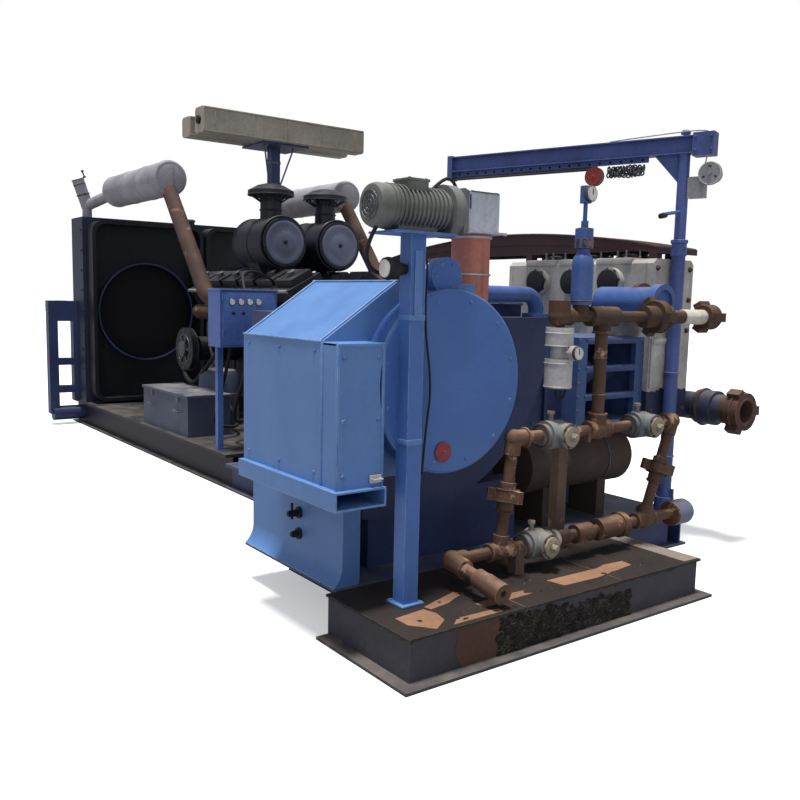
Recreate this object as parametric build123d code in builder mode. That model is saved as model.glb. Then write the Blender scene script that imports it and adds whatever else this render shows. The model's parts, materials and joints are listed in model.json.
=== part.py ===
from build123d import *
from math import asin, atan2, cos, pi, radians, sin, sqrt
import os

os.makedirs("parts", exist_ok=True)

# Triplex mud pump unit, millimetres. +X runs along the pump's plungers to the fluid end,
# +Y runs back along the engine to the radiator, +Z is up from the skid's underside.

# --- skids -------------------------------------------------------------------------
deck_plate = 12
flange_plate = 14
web_plate = 12
platform_height = 210
platform_left = -1865
platform_right = 115
platform_front = -3375
foot_flange_reach = 65
foot_flange_inner = 60
nose_reach = 14
joist_pitch = 640

skid_front = -2740
skid_height = 210
pump_rail_width = 140
pump_skid_left = -960
pump_skid_right = 940
pump_cross_pitch = 600
wing_beam_left = -1400

engine_skid_front = 330
engine_skid_height = 280
engine_skid_left = -960
engine_skid_right = 1850
engine_cross_pitch = 680
cross_beam_width = 100

pull_tube_radius = 85
pull_tube_wall = 14
pull_tube_y = 4480
engine_skid_rear = pull_tube_y + 220
pull_tube_z = 134
pull_tube_overhang = 290
fit_clearance = 0.3

ladder_depth = 120
ladder_width = 330
ladder_post = 105
ladder_top = 1470
ladder_panel = 240
ladder_rungs = 2
ladder_first_rung = 420
ladder_rise = 330
ladder_plate = 80

# --- front guard, drum and blower --------------------------------------------------
guard_left = -2000
guard_front = -3020
guard_cover_depth = 140
guard_rear = -2130
guard_cover_width = 235
guard_bottom = 770
guard_eave = 1400
guard_ridge = 1670
guard_ridge_x = -1600
guard_right = -1135
tray_height = 85
tray_lip = 30
tray_plate = 8
pedestal_left = -1770
pedestal_width = 100
pedestal_front = -2710
pedestal_length = 930
pedestal_flare = 50
pedestal_flare_height = 110

drum_x = -1360
drum_z = 1210
drum_radius = 430
drum_front = -3000
drum_crown = 14
drum_boss_radius = 88
drum_boss_rise = 60

post_x = -1640
post_y = -3040
post_size = 80
post_wall = 6
shelf_z = 1880
shelf_plate = 10

blower_y = -3000
blower_z = 1985
motor_radius = 88
motor_start = -1790
motor_length = 330
fan_ring_radius = 118
fan_ring_width = 55
blower_box_width = 250
blower_box_height = 190
duct_x = -1030
duct_y = -2720
duct_radius = 98

# --- pump --------------------------------------------------------------------------
power_end_front = -2560
power_end_rear = -1340
power_end_left = -1560
power_end_top = 1500
sump_radius = 1060
sump_centre_x = -1300
sump_centre_z = 1510
neck_recess = 120
hatch_rise = 70
crank_x = -500
crank_z = 1180
bearing_radius = 290
bearing_depth = 60

cradle_length = 620
cradle_bottom = 820
cradle_top = 1380
cradle_wall = 40
cradle_windows = 3
plunger_pitch = 330
plunger_radius = 80
plunger_z = 1140

fluid_end_width = 420
fluid_end_front = -2600
fluid_end_rear = -1290
fluid_end_bottom = 840
fluid_end_top = 1880
valve_cover_radius = 95
valve_cover_depth = 45
port_z = 1730

suction_radius = 95
suction_bore = 76
suction_x = 1210
suction_z = 900
suction_front = -2860
hub_radius = 125
hub_depth = 90

receiver_radius = 180
receiver_length = 1000
receiver_end_x = 700
receiver_y = -2330
receiver_z = 590

# --- canopy ------------------------------------------------------------------------
canopy_left = 760
canopy_width = 400
canopy_front = -2540
canopy_rear = 440
canopy_clearance = 80
canopy_eave = fluid_end_top + canopy_clearance
canopy_rise = 140
canopy_thickness = 80
canopy_post = 60

# --- high-pressure manifold --------------------------------------------------------
pipe_radius = 30
pipe_bore = 19
fitting_radius = 47
socket_radius = 42
socket_length = 80
manifold_y = -3000
low_z = 345
mid_z = 910
top_z = 1520
left_low_x = -1020
left_mid_x = -950
right_low_x = 120
right_mid_x = 340
riser_x = -325
outlet_x = -1330
outlet_reach = 360
outlet_drop = 60
valve_radius = 74
valve_length = 200
low_valve_x = -770
mid_valve_left_x = -660
mid_valve_right_x = 40
union_radius = 62
union_height = 60
lug_size = 34
end_cap_radius = 74
end_cap_length = 150
top_elbow_x = -660
check_x = 170
check_radius = 110
end_nut_x = 580
bottle_x = -500
bottle_radius = 56
bottle_top = 1850
filter_radius = 72

# --- jib ---------------------------------------------------------------------------
mast_x = 800
mast_y = -2650
mast_outer = 43
mast_bore = 37
swivel_radius = 36
swivel_gap = 0.5
mast_foot_z = 236
mast_top = 1950
swivel_engagement = 320
boom_z = 2590
boom_length = 1720
boom_height = 110
boom_width = 80
boom_plate = 8
boom_angle = 107.5
winch_z = 2330
winch_reach = 150
wheel_radius = 70
wheel_width = 28
wheel_bore = 12

# --- engine ------------------------------------------------------------------------
engine_x = 430
engine_front = 760
bell_radius = 390
bell_length = 150
gearbox_taper = 180
gearbox_radius = 250
gearbox_foot_width = 400
engine_length = 2300
crank_height = 980
block_half_width = 330
bank_angle = 28
bank_height = 760
bank_width = 330
head_height = 150
heads_per_bank = 6
head_gap = 26

air_cleaner_radius = 250
air_cleaner_length = 640
air_cleaner_front = 1300
air_cleaner_z = 2100
air_cleaner_spread = 312
neck_radius = 105
rain_cap_radius = 225
rain_cap_z = 2560

muffler_radius = 172
muffler_length = 1640
muffler_front = 2300
muffler_z = 2730
muffler_spread = 1050
riser_radius = 75
log_radius = 80
log_height = 600
tail_radius = 62

radiator_front = pull_tube_y - 330
radiator_depth = 420
radiator_top = 2440
radiator_side = 110
core_recess = 30
shroud_depth = 230
shroud_wall = 40
bay_radius = 560

control_box_width = 520
control_box_height = 470
control_box_depth = 230
control_box_front = 400
control_box_bottom = 1160

battery_box_left = -900
battery_box_width = 420
battery_box_front = 1250
battery_box_length = 1130
battery_box_height = 360

compressor_y = 2300
compressor_z = 1020
compressor_radius = 130
compressor_length = 460
compressor_neck = 70
compressor_wheel = 220
compressor_wheel_depth = 70

light_length = 1840
light_height = 240
light_depth = 200
light_front_y = 1900
light_z = 3250
light_mast_y = 2120
light_mast_size = 100
light_mast_foot = 450
light_pitch = 320

stub_lean = 0.345
flap_gap = 0.5
flap_thickness = 6
belt_guard_front = -560
belt_guard_rear = -200
big_sheave = 340
small_sheave = 270


def block(x0, x1, y0, y1, z0, z1, mode=Mode.ADD):
    with Locations(((x0 + x1) / 2, (y0 + y1) / 2, (z0 + z1) / 2)):
        Box(x1 - x0, y1 - y0, z1 - z0, mode=mode)


def rod(start, end, radius, mode=Mode.ADD):
    run = Vector(*end) - Vector(*start)
    with Locations(Plane(origin=start, z_dir=run)):
        Cylinder(radius, run.length, align=(Align.CENTER, Align.CENTER, Align.MIN), mode=mode)


def ball(centre, radius, mode=Mode.ADD):
    with Locations(centre):
        Sphere(radius, mode=mode)


def xz_plane(y):
    return Plane(origin=(0, y, 0), x_dir=(1, 0, 0), z_dir=(0, -1, 0))


def yz_plane(x):
    return Plane(origin=(x, 0, 0), x_dir=(0, 1, 0), z_dir=(1, 0, 0))


def along(start, end, distance):
    run = (Vector(*end) - Vector(*start)).normalized()
    return tuple(Vector(*start) + run * distance)


def save(piece, name):
    piece.part.label = name
    export_step(piece.part, "parts/" + name + ".step")


def i_section(width, height):
    Rectangle(width, height)
    inner = height - 2 * flange_plate
    side = (width - web_plate) / 2
    for sign in (-1, 1):
        with Locations((sign * (web_plate + side) / 2, 0)):
            Rectangle(side, inner, mode=Mode.SUBTRACT)


def rail(x0, x1, y0, y1, height):
    with BuildPart() as beam:
        with BuildSketch(Plane(origin=((x0 + x1) / 2, y1, height / 2), x_dir=(1, 0, 0), z_dir=(0, -1, 0))):
            i_section(x1 - x0, height)
        extrude(amount=y1 - y0)
    return beam.part


def cross_beam(x0, x1, y, height):
    with BuildPart() as beam:
        with BuildSketch(Plane(origin=(x0, y, height / 2), x_dir=(0, 1, 0), z_dir=(1, 0, 0))):
            i_section(cross_beam_width, height)
        extrude(amount=x1 - x0)
    return beam.part


def steps(first, last, pitch):
    count = max(1, round((last - first) / pitch))
    return [first + (last - first) * i / count for i in range(count + 1)]


# === front platform ================================================================
with BuildPart() as front_platform:
    web_top = platform_height - deck_plate
    block(platform_left, platform_right, platform_front, skid_front, 0, web_top)
    block(platform_left + web_plate, platform_right - web_plate, platform_front + web_plate,
          skid_front - web_plate, 0, web_top, mode=Mode.SUBTRACT)
    for x in steps(platform_left, platform_right, joist_pitch)[1:-1]:
        block(x - web_plate / 2, x + web_plate / 2, platform_front, skid_front, 0, web_top)
    reach = foot_flange_reach
    block(platform_left - reach, platform_right + reach, platform_front - reach, skid_front,
          0, flange_plate)
    block(platform_left + foot_flange_inner, platform_right - foot_flange_inner,
          platform_front + foot_flange_inner, skid_front - foot_flange_inner,
          0, flange_plate, mode=Mode.SUBTRACT)
    for x in steps(platform_left, platform_right, joist_pitch)[1:-1]:
        block(x - reach / 2, x + reach / 2, platform_front, skid_front, 0, flange_plate)
    block(platform_left - nose_reach, platform_right + nose_reach, platform_front - nose_reach,
          skid_front, web_top, platform_height)
save(front_platform, "front_platform")

# === pump skid and engine skid: rails, cross beams and deck plate ==================
def welded_skid(left, right, front, rear, height, beam_rows):
    with BuildPart() as skid:
        beam_top = height - deck_plate
        block(left, right, front, rear, beam_top, height)
        for x in (left, right - pump_rail_width):
            add(rail(x, x + pump_rail_width, front, rear, beam_top))
        for y in beam_rows:
            add(cross_beam(left + pump_rail_width, right - pump_rail_width, y, beam_top))
    return skid


half_beam = cross_beam_width / 2
pump_beams = steps(skid_front + half_beam, 0, pump_cross_pitch) + [engine_skid_front - half_beam]
pump_skid = welded_skid(pump_skid_left, pump_skid_right, skid_front, engine_skid_front, skid_height,
                        pump_beams)
with pump_skid:
    wing_top = skid_height - deck_plate
    wing_left = pedestal_left - pedestal_flare
    wing_rear = pedestal_front + pedestal_length
    block(wing_left, pump_skid_left, skid_front, wing_rear, wing_top, skid_height)
    for y in steps(skid_front + half_beam, wing_rear - half_beam, pump_cross_pitch):
        add(cross_beam(wing_beam_left, pump_skid_left, y, wing_top))
    add(rail(wing_beam_left - pump_rail_width, wing_beam_left, skid_front, wing_rear, wing_top))
save(pump_skid, "pump_skid")

with BuildPart() as engine_skid:
    last_beam = pull_tube_y - pull_tube_radius - cross_beam_width
    add(welded_skid(engine_skid_left, engine_skid_right, engine_skid_front, engine_skid_rear,
                    engine_skid_height, steps(engine_skid_front + half_beam, last_beam,
                                              engine_cross_pitch)).part)
    rod((engine_skid_left - 1, pull_tube_y, pull_tube_z), (engine_skid_right + 1, pull_tube_y, pull_tube_z),
        pull_tube_radius + fit_clearance, mode=Mode.SUBTRACT)
save(engine_skid, "engine_skid")

with BuildPart() as rear_pull_tube:
    tube_left = (engine_skid_left - pull_tube_overhang, pull_tube_y, pull_tube_z)
    tube_right = (engine_skid_right + pull_tube_overhang / 2, pull_tube_y, pull_tube_z)
    rod(tube_left, tube_right, pull_tube_radius)
    rod((engine_skid_left, pull_tube_y, pull_tube_z), tube_right,
        pull_tube_radius - pull_tube_wall, mode=Mode.SUBTRACT)
save(rear_pull_tube, "rear_pull_tube")

# === step ladder on the pull tube's end ============================================
with BuildPart() as step_ladder:
    ladder_left = engine_skid_left - ladder_width
    ladder_y0 = pull_tube_y - ladder_depth / 2
    ladder_y1 = pull_tube_y + ladder_depth / 2
    block(ladder_left, ladder_left + ladder_post, ladder_y0, ladder_y1, pull_tube_z, ladder_top)
    block(engine_skid_left - ladder_post / 2, engine_skid_left, ladder_y0, ladder_y1,
          engine_skid_height, ladder_top)
    block(ladder_left, engine_skid_left, ladder_y0, ladder_y0 + ladder_plate / 2,
          ladder_top - ladder_panel, ladder_top)
    for i in range(ladder_rungs):
        z = ladder_first_rung + ladder_rise * i
        block(ladder_left, engine_skid_left, ladder_y0, ladder_y1, z - ladder_plate / 2, z + ladder_plate / 2)
    block(ladder_left, engine_skid_left, ladder_y0, ladder_y1, ladder_top - ladder_plate / 4, ladder_top)
    add(rear_pull_tube.part, mode=Mode.SUBTRACT)
save(step_ladder, "step_ladder")

# === guard box, its tray and pedestal ==============================================
with BuildPart() as guard_box:
    with BuildSketch(xz_plane(guard_rear)):
        with BuildLine():
            Polyline((guard_left, guard_bottom), (guard_left, guard_eave), (guard_ridge_x, guard_ridge),
                     (guard_right, guard_ridge), (guard_right, guard_bottom), close=True)
        make_face()
    extrude(amount=guard_rear - guard_front - guard_cover_depth)
    cover_right = guard_left + guard_cover_width
    block(guard_left, cover_right, guard_front, guard_front + guard_cover_depth, guard_bottom, guard_eave)
    rod((drum_x, guard_rear, drum_z), (drum_x, guard_front, drum_z), drum_radius + fit_clearance,
        mode=Mode.SUBTRACT)
    block(power_end_left - fit_clearance, guard_right + 1, power_end_front - fit_clearance,
          guard_rear + 1, guard_bottom - 1, guard_ridge + 1, mode=Mode.SUBTRACT)
save(guard_box, "guard_box")

with BuildPart() as guard_stand:
    pedestal_top = guard_bottom - tray_height
    with BuildSketch(xz_plane(pedestal_front + pedestal_length)):
        with BuildLine():
            foot_left = pedestal_left - pedestal_flare
            pedestal_right = pedestal_left + pedestal_width
            flare_top = skid_height + pedestal_flare_height
            Polyline((foot_left, skid_height), (pedestal_right, skid_height),
                     (pedestal_right, pedestal_top), (pedestal_left, pedestal_top),
                     (pedestal_left, flare_top))
            sag = pedestal_flare * 0.27
            ThreePointArc((pedestal_left, flare_top),
                          (pedestal_left - sag, skid_height + pedestal_flare_height * 0.42),
                          (foot_left, skid_height))
        make_face()
    extrude(amount=pedestal_length)
    tray_left = guard_left - tray_lip
    tray_right = guard_left + guard_cover_width
    tray_front = guard_front - tray_lip
    block(tray_left, tray_right, tray_front, guard_rear, pedestal_top, guard_bottom)
    block(tray_left + tray_plate, tray_right - tray_plate, tray_front - 1, guard_rear - tray_plate,
          pedestal_top + tray_plate, guard_bottom - tray_plate, mode=Mode.SUBTRACT)
save(guard_stand, "guard_stand")

# === drum cover with its dished front ==============================================
with BuildPart() as guard_drum:
    drum_depth = power_end_front - drum_front
    with BuildSketch(Plane(origin=(drum_x, power_end_front, drum_z), x_dir=(1, 0, 0), z_dir=(0, 0, 1))):
        with BuildLine():
            edge = drum_radius - drum_crown
            Polyline((0, 0), (drum_radius, 0), (drum_radius, -(drum_depth - drum_crown)))
            RadiusArc((drum_radius, -(drum_depth - drum_crown)), (edge, -drum_depth), drum_crown)
            Polyline((edge, -drum_depth), (0, -drum_depth), (0, 0))
        make_face()
    revolve(axis=Axis((drum_x, power_end_front, drum_z), (0, 1, 0)))
    boss_z = drum_z + drum_radius + drum_boss_rise
    boss_y = guard_front + guard_cover_depth
    rod((drum_x, boss_y, boss_z), (drum_x, drum_front + drum_boss_rise, boss_z), drum_boss_radius)
save(guard_drum, "guard_drum")

# === square post with its shelf ====================================================
with BuildPart() as guard_post:
    half_post = post_size / 2
    block(post_x - half_post, post_x + half_post, post_y - half_post, post_y + half_post,
          platform_height, shelf_z - shelf_plate)
    block(post_x - half_post + post_wall, post_x + half_post - post_wall,
          post_y - half_post + post_wall, post_y + half_post - post_wall,
          platform_height, shelf_z - shelf_plate, mode=Mode.SUBTRACT)
    block(motor_start, motor_start + motor_length, post_y - post_size, blower_y + motor_radius,
          shelf_z - shelf_plate, shelf_z)
save(guard_post, "guard_post")

# === blower: finned motor, fan ring and transition box =============================
with BuildPart() as blower:
    motor_end = motor_start + motor_length
    rod((motor_start, blower_y, blower_z), (motor_end, blower_y, blower_z), motor_radius)
    fin_pitch = 24
    for x in steps(motor_start + fin_pitch, motor_end - fin_pitch, fin_pitch):
        rod((x - 4, blower_y, blower_z), (x + 4, blower_y, blower_z), motor_radius + 10)
    rod((motor_end, blower_y, blower_z), (motor_end + fan_ring_width, blower_y, blower_z), fan_ring_radius)
    foot_half = motor_radius * 0.6
    block(motor_start + 60, motor_end - 60, blower_y - foot_half, blower_y + foot_half,
          shelf_z, blower_z)
    box_left = motor_end + fan_ring_width
    with BuildSketch(yz_plane(box_left)):
        with Locations((blower_y, blower_z)):
            Rectangle(fan_ring_radius * 1.7, fan_ring_radius * 1.7)
    with BuildSketch(yz_plane(duct_x - duct_radius)):
        with Locations((duct_y, blower_z + 40)):
            Rectangle(duct_radius * 2, blower_box_height)
    loft()
    block(duct_x - duct_radius, duct_x + duct_radius, duct_y - duct_radius, duct_y + duct_radius,
          blower_z + 40 - blower_box_height / 2, blower_z + 40 + blower_box_height / 2)
    flange_z = blower_z + 40 - blower_box_height / 2
    block(duct_x - duct_radius - 30, duct_x + duct_radius + 30, duct_y - duct_radius - 30,
          duct_y + duct_radius + 30, flange_z - 10, flange_z)
save(blower, "blower")

with BuildPart() as vent_duct:
    duct_top = flange_z - 10
    rod((duct_x, duct_y, drum_z), (duct_x, duct_y, duct_top), duct_radius)
    rod((drum_x, power_end_front + 1, drum_z), (drum_x, drum_front, drum_z),
        drum_radius, mode=Mode.SUBTRACT)
save(vent_duct, "vent_duct")

# === pump power end ================================================================
with BuildPart() as power_end:
    with BuildSketch(xz_plane(power_end_rear)):
        with Locations((sump_centre_x, sump_centre_z)):
            Circle(sump_radius)
        with Locations((power_end_left, power_end_top)):
            Rectangle(-2 * power_end_left, power_end_top, align=(Align.MIN, Align.MAX), mode=Mode.INTERSECT)
    extrude(amount=power_end_rear - power_end_front)
    block(power_end_left, 0, power_end_front + neck_recess, power_end_rear, cradle_bottom, power_end_top)
    block(power_end_left + 300, -300, power_end_front + 200, power_end_rear - 100, power_end_top,
          power_end_top + hatch_rise)
    rod((crank_x, power_end_rear, crank_z), (crank_x, power_end_rear + bearing_depth, crank_z), bearing_radius)
    for y in (power_end_front + 90, power_end_rear - 90):
        block(power_end_left + 60, power_end_left + 1100, y - 60, y + 60, skid_height,
              sump_centre_z - sump_radius + 120)
save(power_end, "power_end")

# === cradle between power end and fluid end ========================================
with BuildPart() as pump_cradle:
    block(0, cradle_length, power_end_front, power_end_rear, cradle_bottom, cradle_top)
    block(cradle_wall, cradle_length - cradle_wall, power_end_front + cradle_wall,
          power_end_rear - cradle_wall, cradle_bottom + cradle_wall, cradle_top - cradle_wall,
          mode=Mode.SUBTRACT)
    window_height = (cradle_top - cradle_bottom - cradle_wall) / cradle_windows - cradle_wall
    for i in range(cradle_windows):
        z = cradle_bottom + cradle_wall + i * (window_height + cradle_wall)
        block(cradle_wall * 2, cradle_length - cradle_wall * 2, power_end_front - 1,
              power_end_rear + 1, z, z + window_height, mode=Mode.SUBTRACT)
    mid_y = (power_end_front + power_end_rear) / 2
    for i in (-1, 0, 1):
        y = mid_y + i * plunger_pitch
        rod((0, y, plunger_z), (cradle_length, y, plunger_z), plunger_radius)
    block(cradle_wall, cradle_length - cradle_wall, receiver_y + receiver_radius + cradle_wall,
          power_end_rear - cradle_wall * 2, skid_height, cradle_bottom)
save(pump_cradle, "pump_cradle")

# === fluid end with three valve pots ===============================================
with BuildPart() as fluid_end:
    fluid_left = cradle_length
    fluid_right = cradle_length + fluid_end_width
    block(fluid_left, fluid_right, fluid_end_front, fluid_end_rear, fluid_end_bottom, fluid_end_top)
    chamfer(fluid_end.edges().filter_by(Axis.Y).group_by(Axis.Z)[-1], 30)
    for i in (-1, 0, 1):
        y = mid_y + i * plunger_pitch
        rod((fluid_left, y, port_z), (fluid_left - valve_cover_depth, y, port_z), valve_cover_radius)
        rod((fluid_right, y, plunger_z), (fluid_right + valve_cover_depth, y, plunger_z), valve_cover_radius)
save(fluid_end, "fluid_end")

# === suction manifold with its lugged hub ==========================================
with BuildPart() as suction_manifold:
    suction_rear = fluid_end_rear - plunger_pitch / 2
    hub_front = suction_front - hub_depth
    rod((suction_x, suction_rear, suction_z), (suction_x, suction_front, suction_z), suction_radius)
    rod((suction_x, suction_front, suction_z), (suction_x, hub_front, suction_z), hub_radius)
    with Locations(Plane(origin=(suction_x, suction_front, suction_z), z_dir=(0, -1, 0))):
        with PolarLocations(hub_radius, 3, start_angle=90):
            Box(60, 60, hub_depth, align=(Align.CENTER, Align.CENTER, Align.MIN))
    rod((suction_x, suction_front + 260, suction_z), (suction_x, suction_front + 120, suction_z),
        suction_radius + 22)
    for i in (-1, 0, 1):
        y = mid_y + i * plunger_pitch
        rod((fluid_right, y, suction_z), (suction_x, y, suction_z), suction_radius * 0.8)
    rod((suction_x, suction_rear - 60, suction_z), (suction_x, hub_front, suction_z),
        suction_bore, mode=Mode.SUBTRACT)
save(suction_manifold, "suction_manifold")

# === discharge strainer cross at the fluid end's front =============================
with BuildPart() as discharge_cross:
    cross_x = 450
    cross_z = 1600
    rod((fluid_left, fluid_end_front + 150, cross_z), (cross_x, fluid_end_front + 150, cross_z), 70)
    rod((cross_x, fluid_end_front + 260, cross_z), (cross_x, fluid_end_front - 160, cross_z), 95)
    rod((cross_x, fluid_end_front - 160, cross_z), (cross_x, fluid_end_front - 220, cross_z), 112)
    rod((cross_x, fluid_end_front - 200, cross_z), (cross_x, fluid_end_front - 221, cross_z), 78,
        mode=Mode.SUBTRACT)
save(discharge_cross, "discharge_cross")

# === lube pipe from the power end to the discharge =================================
with BuildPart() as crossover_pipe:
    pipe_y = -2480
    with BuildLine():
        FilletPolyline((-800, pipe_y, power_end_top), (-800, pipe_y, power_end_top + 130),
                       (-300, pipe_y, power_end_top + 130), (-300, pipe_y, power_end_top), radius=90)
    with BuildSketch(Plane(origin=(-800, pipe_y, power_end_top), z_dir=(0, 0, 1))):
        Circle(45)
    sweep()
    rod((-800, pipe_y, power_end_top), (-800, pipe_y, power_end_top + 24), 80)
    rod((-300, pipe_y, power_end_top), (-300, pipe_y, power_end_top + 24), 80)
save(crossover_pipe, "crossover_pipe")

# === receiver lying under the cradle ===============================================
with BuildPart() as lower_receiver:
    receiver_start = receiver_end_x - receiver_length
    dome = receiver_radius * 0.45
    with BuildSketch(Plane(origin=(0, receiver_y, receiver_z), x_dir=(1, 0, 0), z_dir=(0, 0, 1))):
        with BuildLine():
            flat_end = receiver_end_x - dome
            Polyline((flat_end, receiver_radius), (receiver_start, receiver_radius), (receiver_start, 0),
                     (receiver_end_x, 0))
            ThreePointArc((receiver_end_x, 0),
                          (flat_end + dome * cos(radians(45)), receiver_radius * sin(radians(45))),
                          (flat_end, receiver_radius))
        make_face()
    revolve(axis=Axis((0, receiver_y, receiver_z), (1, 0, 0)))
    for x in (receiver_start + 200, receiver_end_x - 300):
        block(x - 40, x + 40, receiver_y - 120, receiver_y + 120, skid_height, receiver_z)
save(lower_receiver, "lower_receiver")

# === belt drive from the gearbox to the pump's shaft ===============================
with BuildPart() as belt_guard:
    with BuildSketch(xz_plane(belt_guard_rear)):
        with BuildLine():
            drive_centre = Vector(crank_x, crank_z)
            gear_centre = Vector(engine_x, crank_height)
            big, small = big_sheave, small_sheave
            line_angle = atan2(gear_centre.Y - drive_centre.Y, gear_centre.X - drive_centre.X)
            spread = (gear_centre - drive_centre).length
            tilt = asin((big - small) / spread)
            up = line_angle + pi / 2 - tilt
            down = line_angle - pi / 2 + tilt
            big_top = drive_centre + Vector(cos(up), sin(up)) * big
            big_low = drive_centre + Vector(cos(down), sin(down)) * big
            small_top = gear_centre + Vector(cos(up), sin(up)) * small
            small_low = gear_centre + Vector(cos(down), sin(down)) * small
            big_far = drive_centre - Vector(cos(line_angle), sin(line_angle)) * big
            small_far = gear_centre + Vector(cos(line_angle), sin(line_angle)) * small
            Line(big_top, small_top)
            ThreePointArc(small_top, small_far, small_low)
            Line(small_low, big_low)
            ThreePointArc(big_low, big_far, big_top)
        make_face()
    extrude(amount=belt_guard_rear - belt_guard_front)
    for x in (crank_x, engine_x - small / 2):
        block(x - 50, x + 50, belt_guard_front + 60, belt_guard_rear - 60, skid_height, crank_height)
save(belt_guard, "belt_guard")

with BuildPart() as drive_shaft:
    shaft_start = power_end_rear + bearing_depth
    rod((crank_x, shaft_start, crank_z), (crank_x, belt_guard_front, crank_z), 65)
    rod((crank_x, shaft_start + 60, crank_z), (crank_x, shaft_start + 110, crank_z), 130)
    rod((crank_x, belt_guard_front - 110, crank_z), (crank_x, belt_guard_front - 60, crank_z), 130)
save(drive_shaft, "drive_shaft")

# === canopy over the fluid end and the belt drive ==================================
with BuildPart() as canopy_roof:
    canopy_middle = (canopy_front + canopy_rear) / 2
    with BuildSketch(yz_plane(canopy_left)):
        with BuildLine():
            ThreePointArc((canopy_front, canopy_eave), (canopy_middle, canopy_eave + canopy_rise),
                          (canopy_rear, canopy_eave))
            Line((canopy_rear, canopy_eave), (canopy_rear, canopy_eave - canopy_thickness / 2))
            ThreePointArc((canopy_rear, canopy_eave - canopy_thickness / 2),
                          (canopy_middle, canopy_eave + canopy_rise - canopy_thickness),
                          (canopy_front, canopy_eave - canopy_thickness / 2))
            Line((canopy_front, canopy_eave - canopy_thickness / 2), (canopy_front, canopy_eave))
        make_face()
    extrude(amount=canopy_width)
save(canopy_roof, "canopy_roof")

post_rows = ((canopy_front + canopy_post, fluid_end_top), (fluid_end_rear - canopy_post, fluid_end_top),
             (canopy_rear - canopy_post, engine_skid_height))
with BuildPart() as canopy_posts:
    for x in (canopy_left + canopy_post / 2, canopy_left + canopy_width / 2):
        for y, z in post_rows:
            block(x - canopy_post / 2, x + canopy_post / 2, y - canopy_post / 2, y + canopy_post / 2,
                  z, canopy_eave - canopy_thickness / 4)
    add(canopy_roof.part, mode=Mode.SUBTRACT)
save(canopy_posts, "canopy_posts")

# === high-pressure manifold ========================================================
def in_plane(x, z):
    return (x, manifold_y, z)


def socketed(centre, towards, radius=socket_radius):
    rod(centre, along(centre, towards, socket_length), radius)


low_left = in_plane(left_low_x, low_z)
low_right = in_plane(right_low_x, low_z)
mid_left = in_plane(left_mid_x, mid_z)
mid_right = in_plane(right_mid_x, mid_z)
riser_low = in_plane(riser_x, mid_z)
riser_high = in_plane(riser_x, top_z)
top_left = in_plane(top_elbow_x, top_z)
outlet = in_plane(outlet_x, low_z)

with BuildPart() as manifold_lower_run:
    rod(outlet, in_plane(low_valve_x - valve_length / 2, low_z), pipe_radius)
    rod(in_plane(low_valve_x + valve_length / 2, low_z), in_plane(right_low_x + 250, low_z), pipe_radius)
    for centre, far in ((low_left, mid_left), (low_right, mid_right)):
        ball(centre, fitting_radius + 6)
        socketed(centre, far)
        socketed(centre, in_plane(centre[0] - 100, low_z))
        socketed(centre, in_plane(centre[0] + 100, low_z))
    ball(outlet, fitting_radius + 4)
    socketed(outlet, low_left)
    coupling_end = low_valve_x + valve_length / 2
    rod(in_plane(coupling_end + 60, low_z), in_plane(coupling_end + 150, low_z), 40)
    rod(in_plane(coupling_end + 200, low_z), in_plane(coupling_end + 320, low_z), 52)
    rod(in_plane(coupling_end + 380, low_z), in_plane(coupling_end + 560, low_z), 62)
    rod(in_plane(coupling_end + 560, low_z), in_plane(coupling_end + 600, low_z), 72)
    cap_start = in_plane(right_low_x + 250, low_z)
    cap_stop = in_plane(right_low_x + 250 + end_cap_length, low_z)
    rod(cap_start, cap_stop, end_cap_radius)
    fillet(manifold_lower_run.edges().filter_by(GeomType.CIRCLE).sort_by(Axis.X)[-1], 20)
    outlet_tip = (outlet_x, manifold_y - outlet_reach, low_z - outlet_drop)
    rod(outlet, along(outlet, outlet_tip, socket_length + 20), fitting_radius)
    rod(outlet, outlet_tip, pipe_radius)
    rod(along(outlet, outlet_tip, 190), along(outlet, outlet_tip, 250), 46)
    rod(along(outlet, outlet_tip, 250), outlet_tip, 50)
    rod(outlet_tip, along(outlet_tip, outlet, 200), pipe_bore, mode=Mode.SUBTRACT)
save(manifold_lower_run, "manifold_lower_run")


def hammer_union(low, high, height):
    centre = along(low, high, height)
    top = along(low, high, height + union_height)
    rod(centre, top, union_radius)
    rod(along(low, high, height - 60), centre, socket_radius)
    rod(top, along(low, high, height + union_height + 34), socket_radius)
    run = Vector(*high) - Vector(*low)
    with Locations(Plane(origin=centre, z_dir=run)):
        with PolarLocations(union_radius + lug_size / 3, 3, start_angle=30):
            Box(lug_size * 1.6, lug_size, union_height, align=(Align.CENTER, Align.CENTER, Align.MIN))


for name, low, high, height in (("left", low_left, mid_left, 255), ("right", low_right, mid_right, 285)):
    with BuildPart() as leg:
        length = (Vector(*high) - Vector(*low)).length
        rod(along(low, high, socket_length), along(low, high, length - socket_length), pipe_radius)
        hammer_union(low, high, height)
    save(leg, "manifold_leg_" + name)

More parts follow.
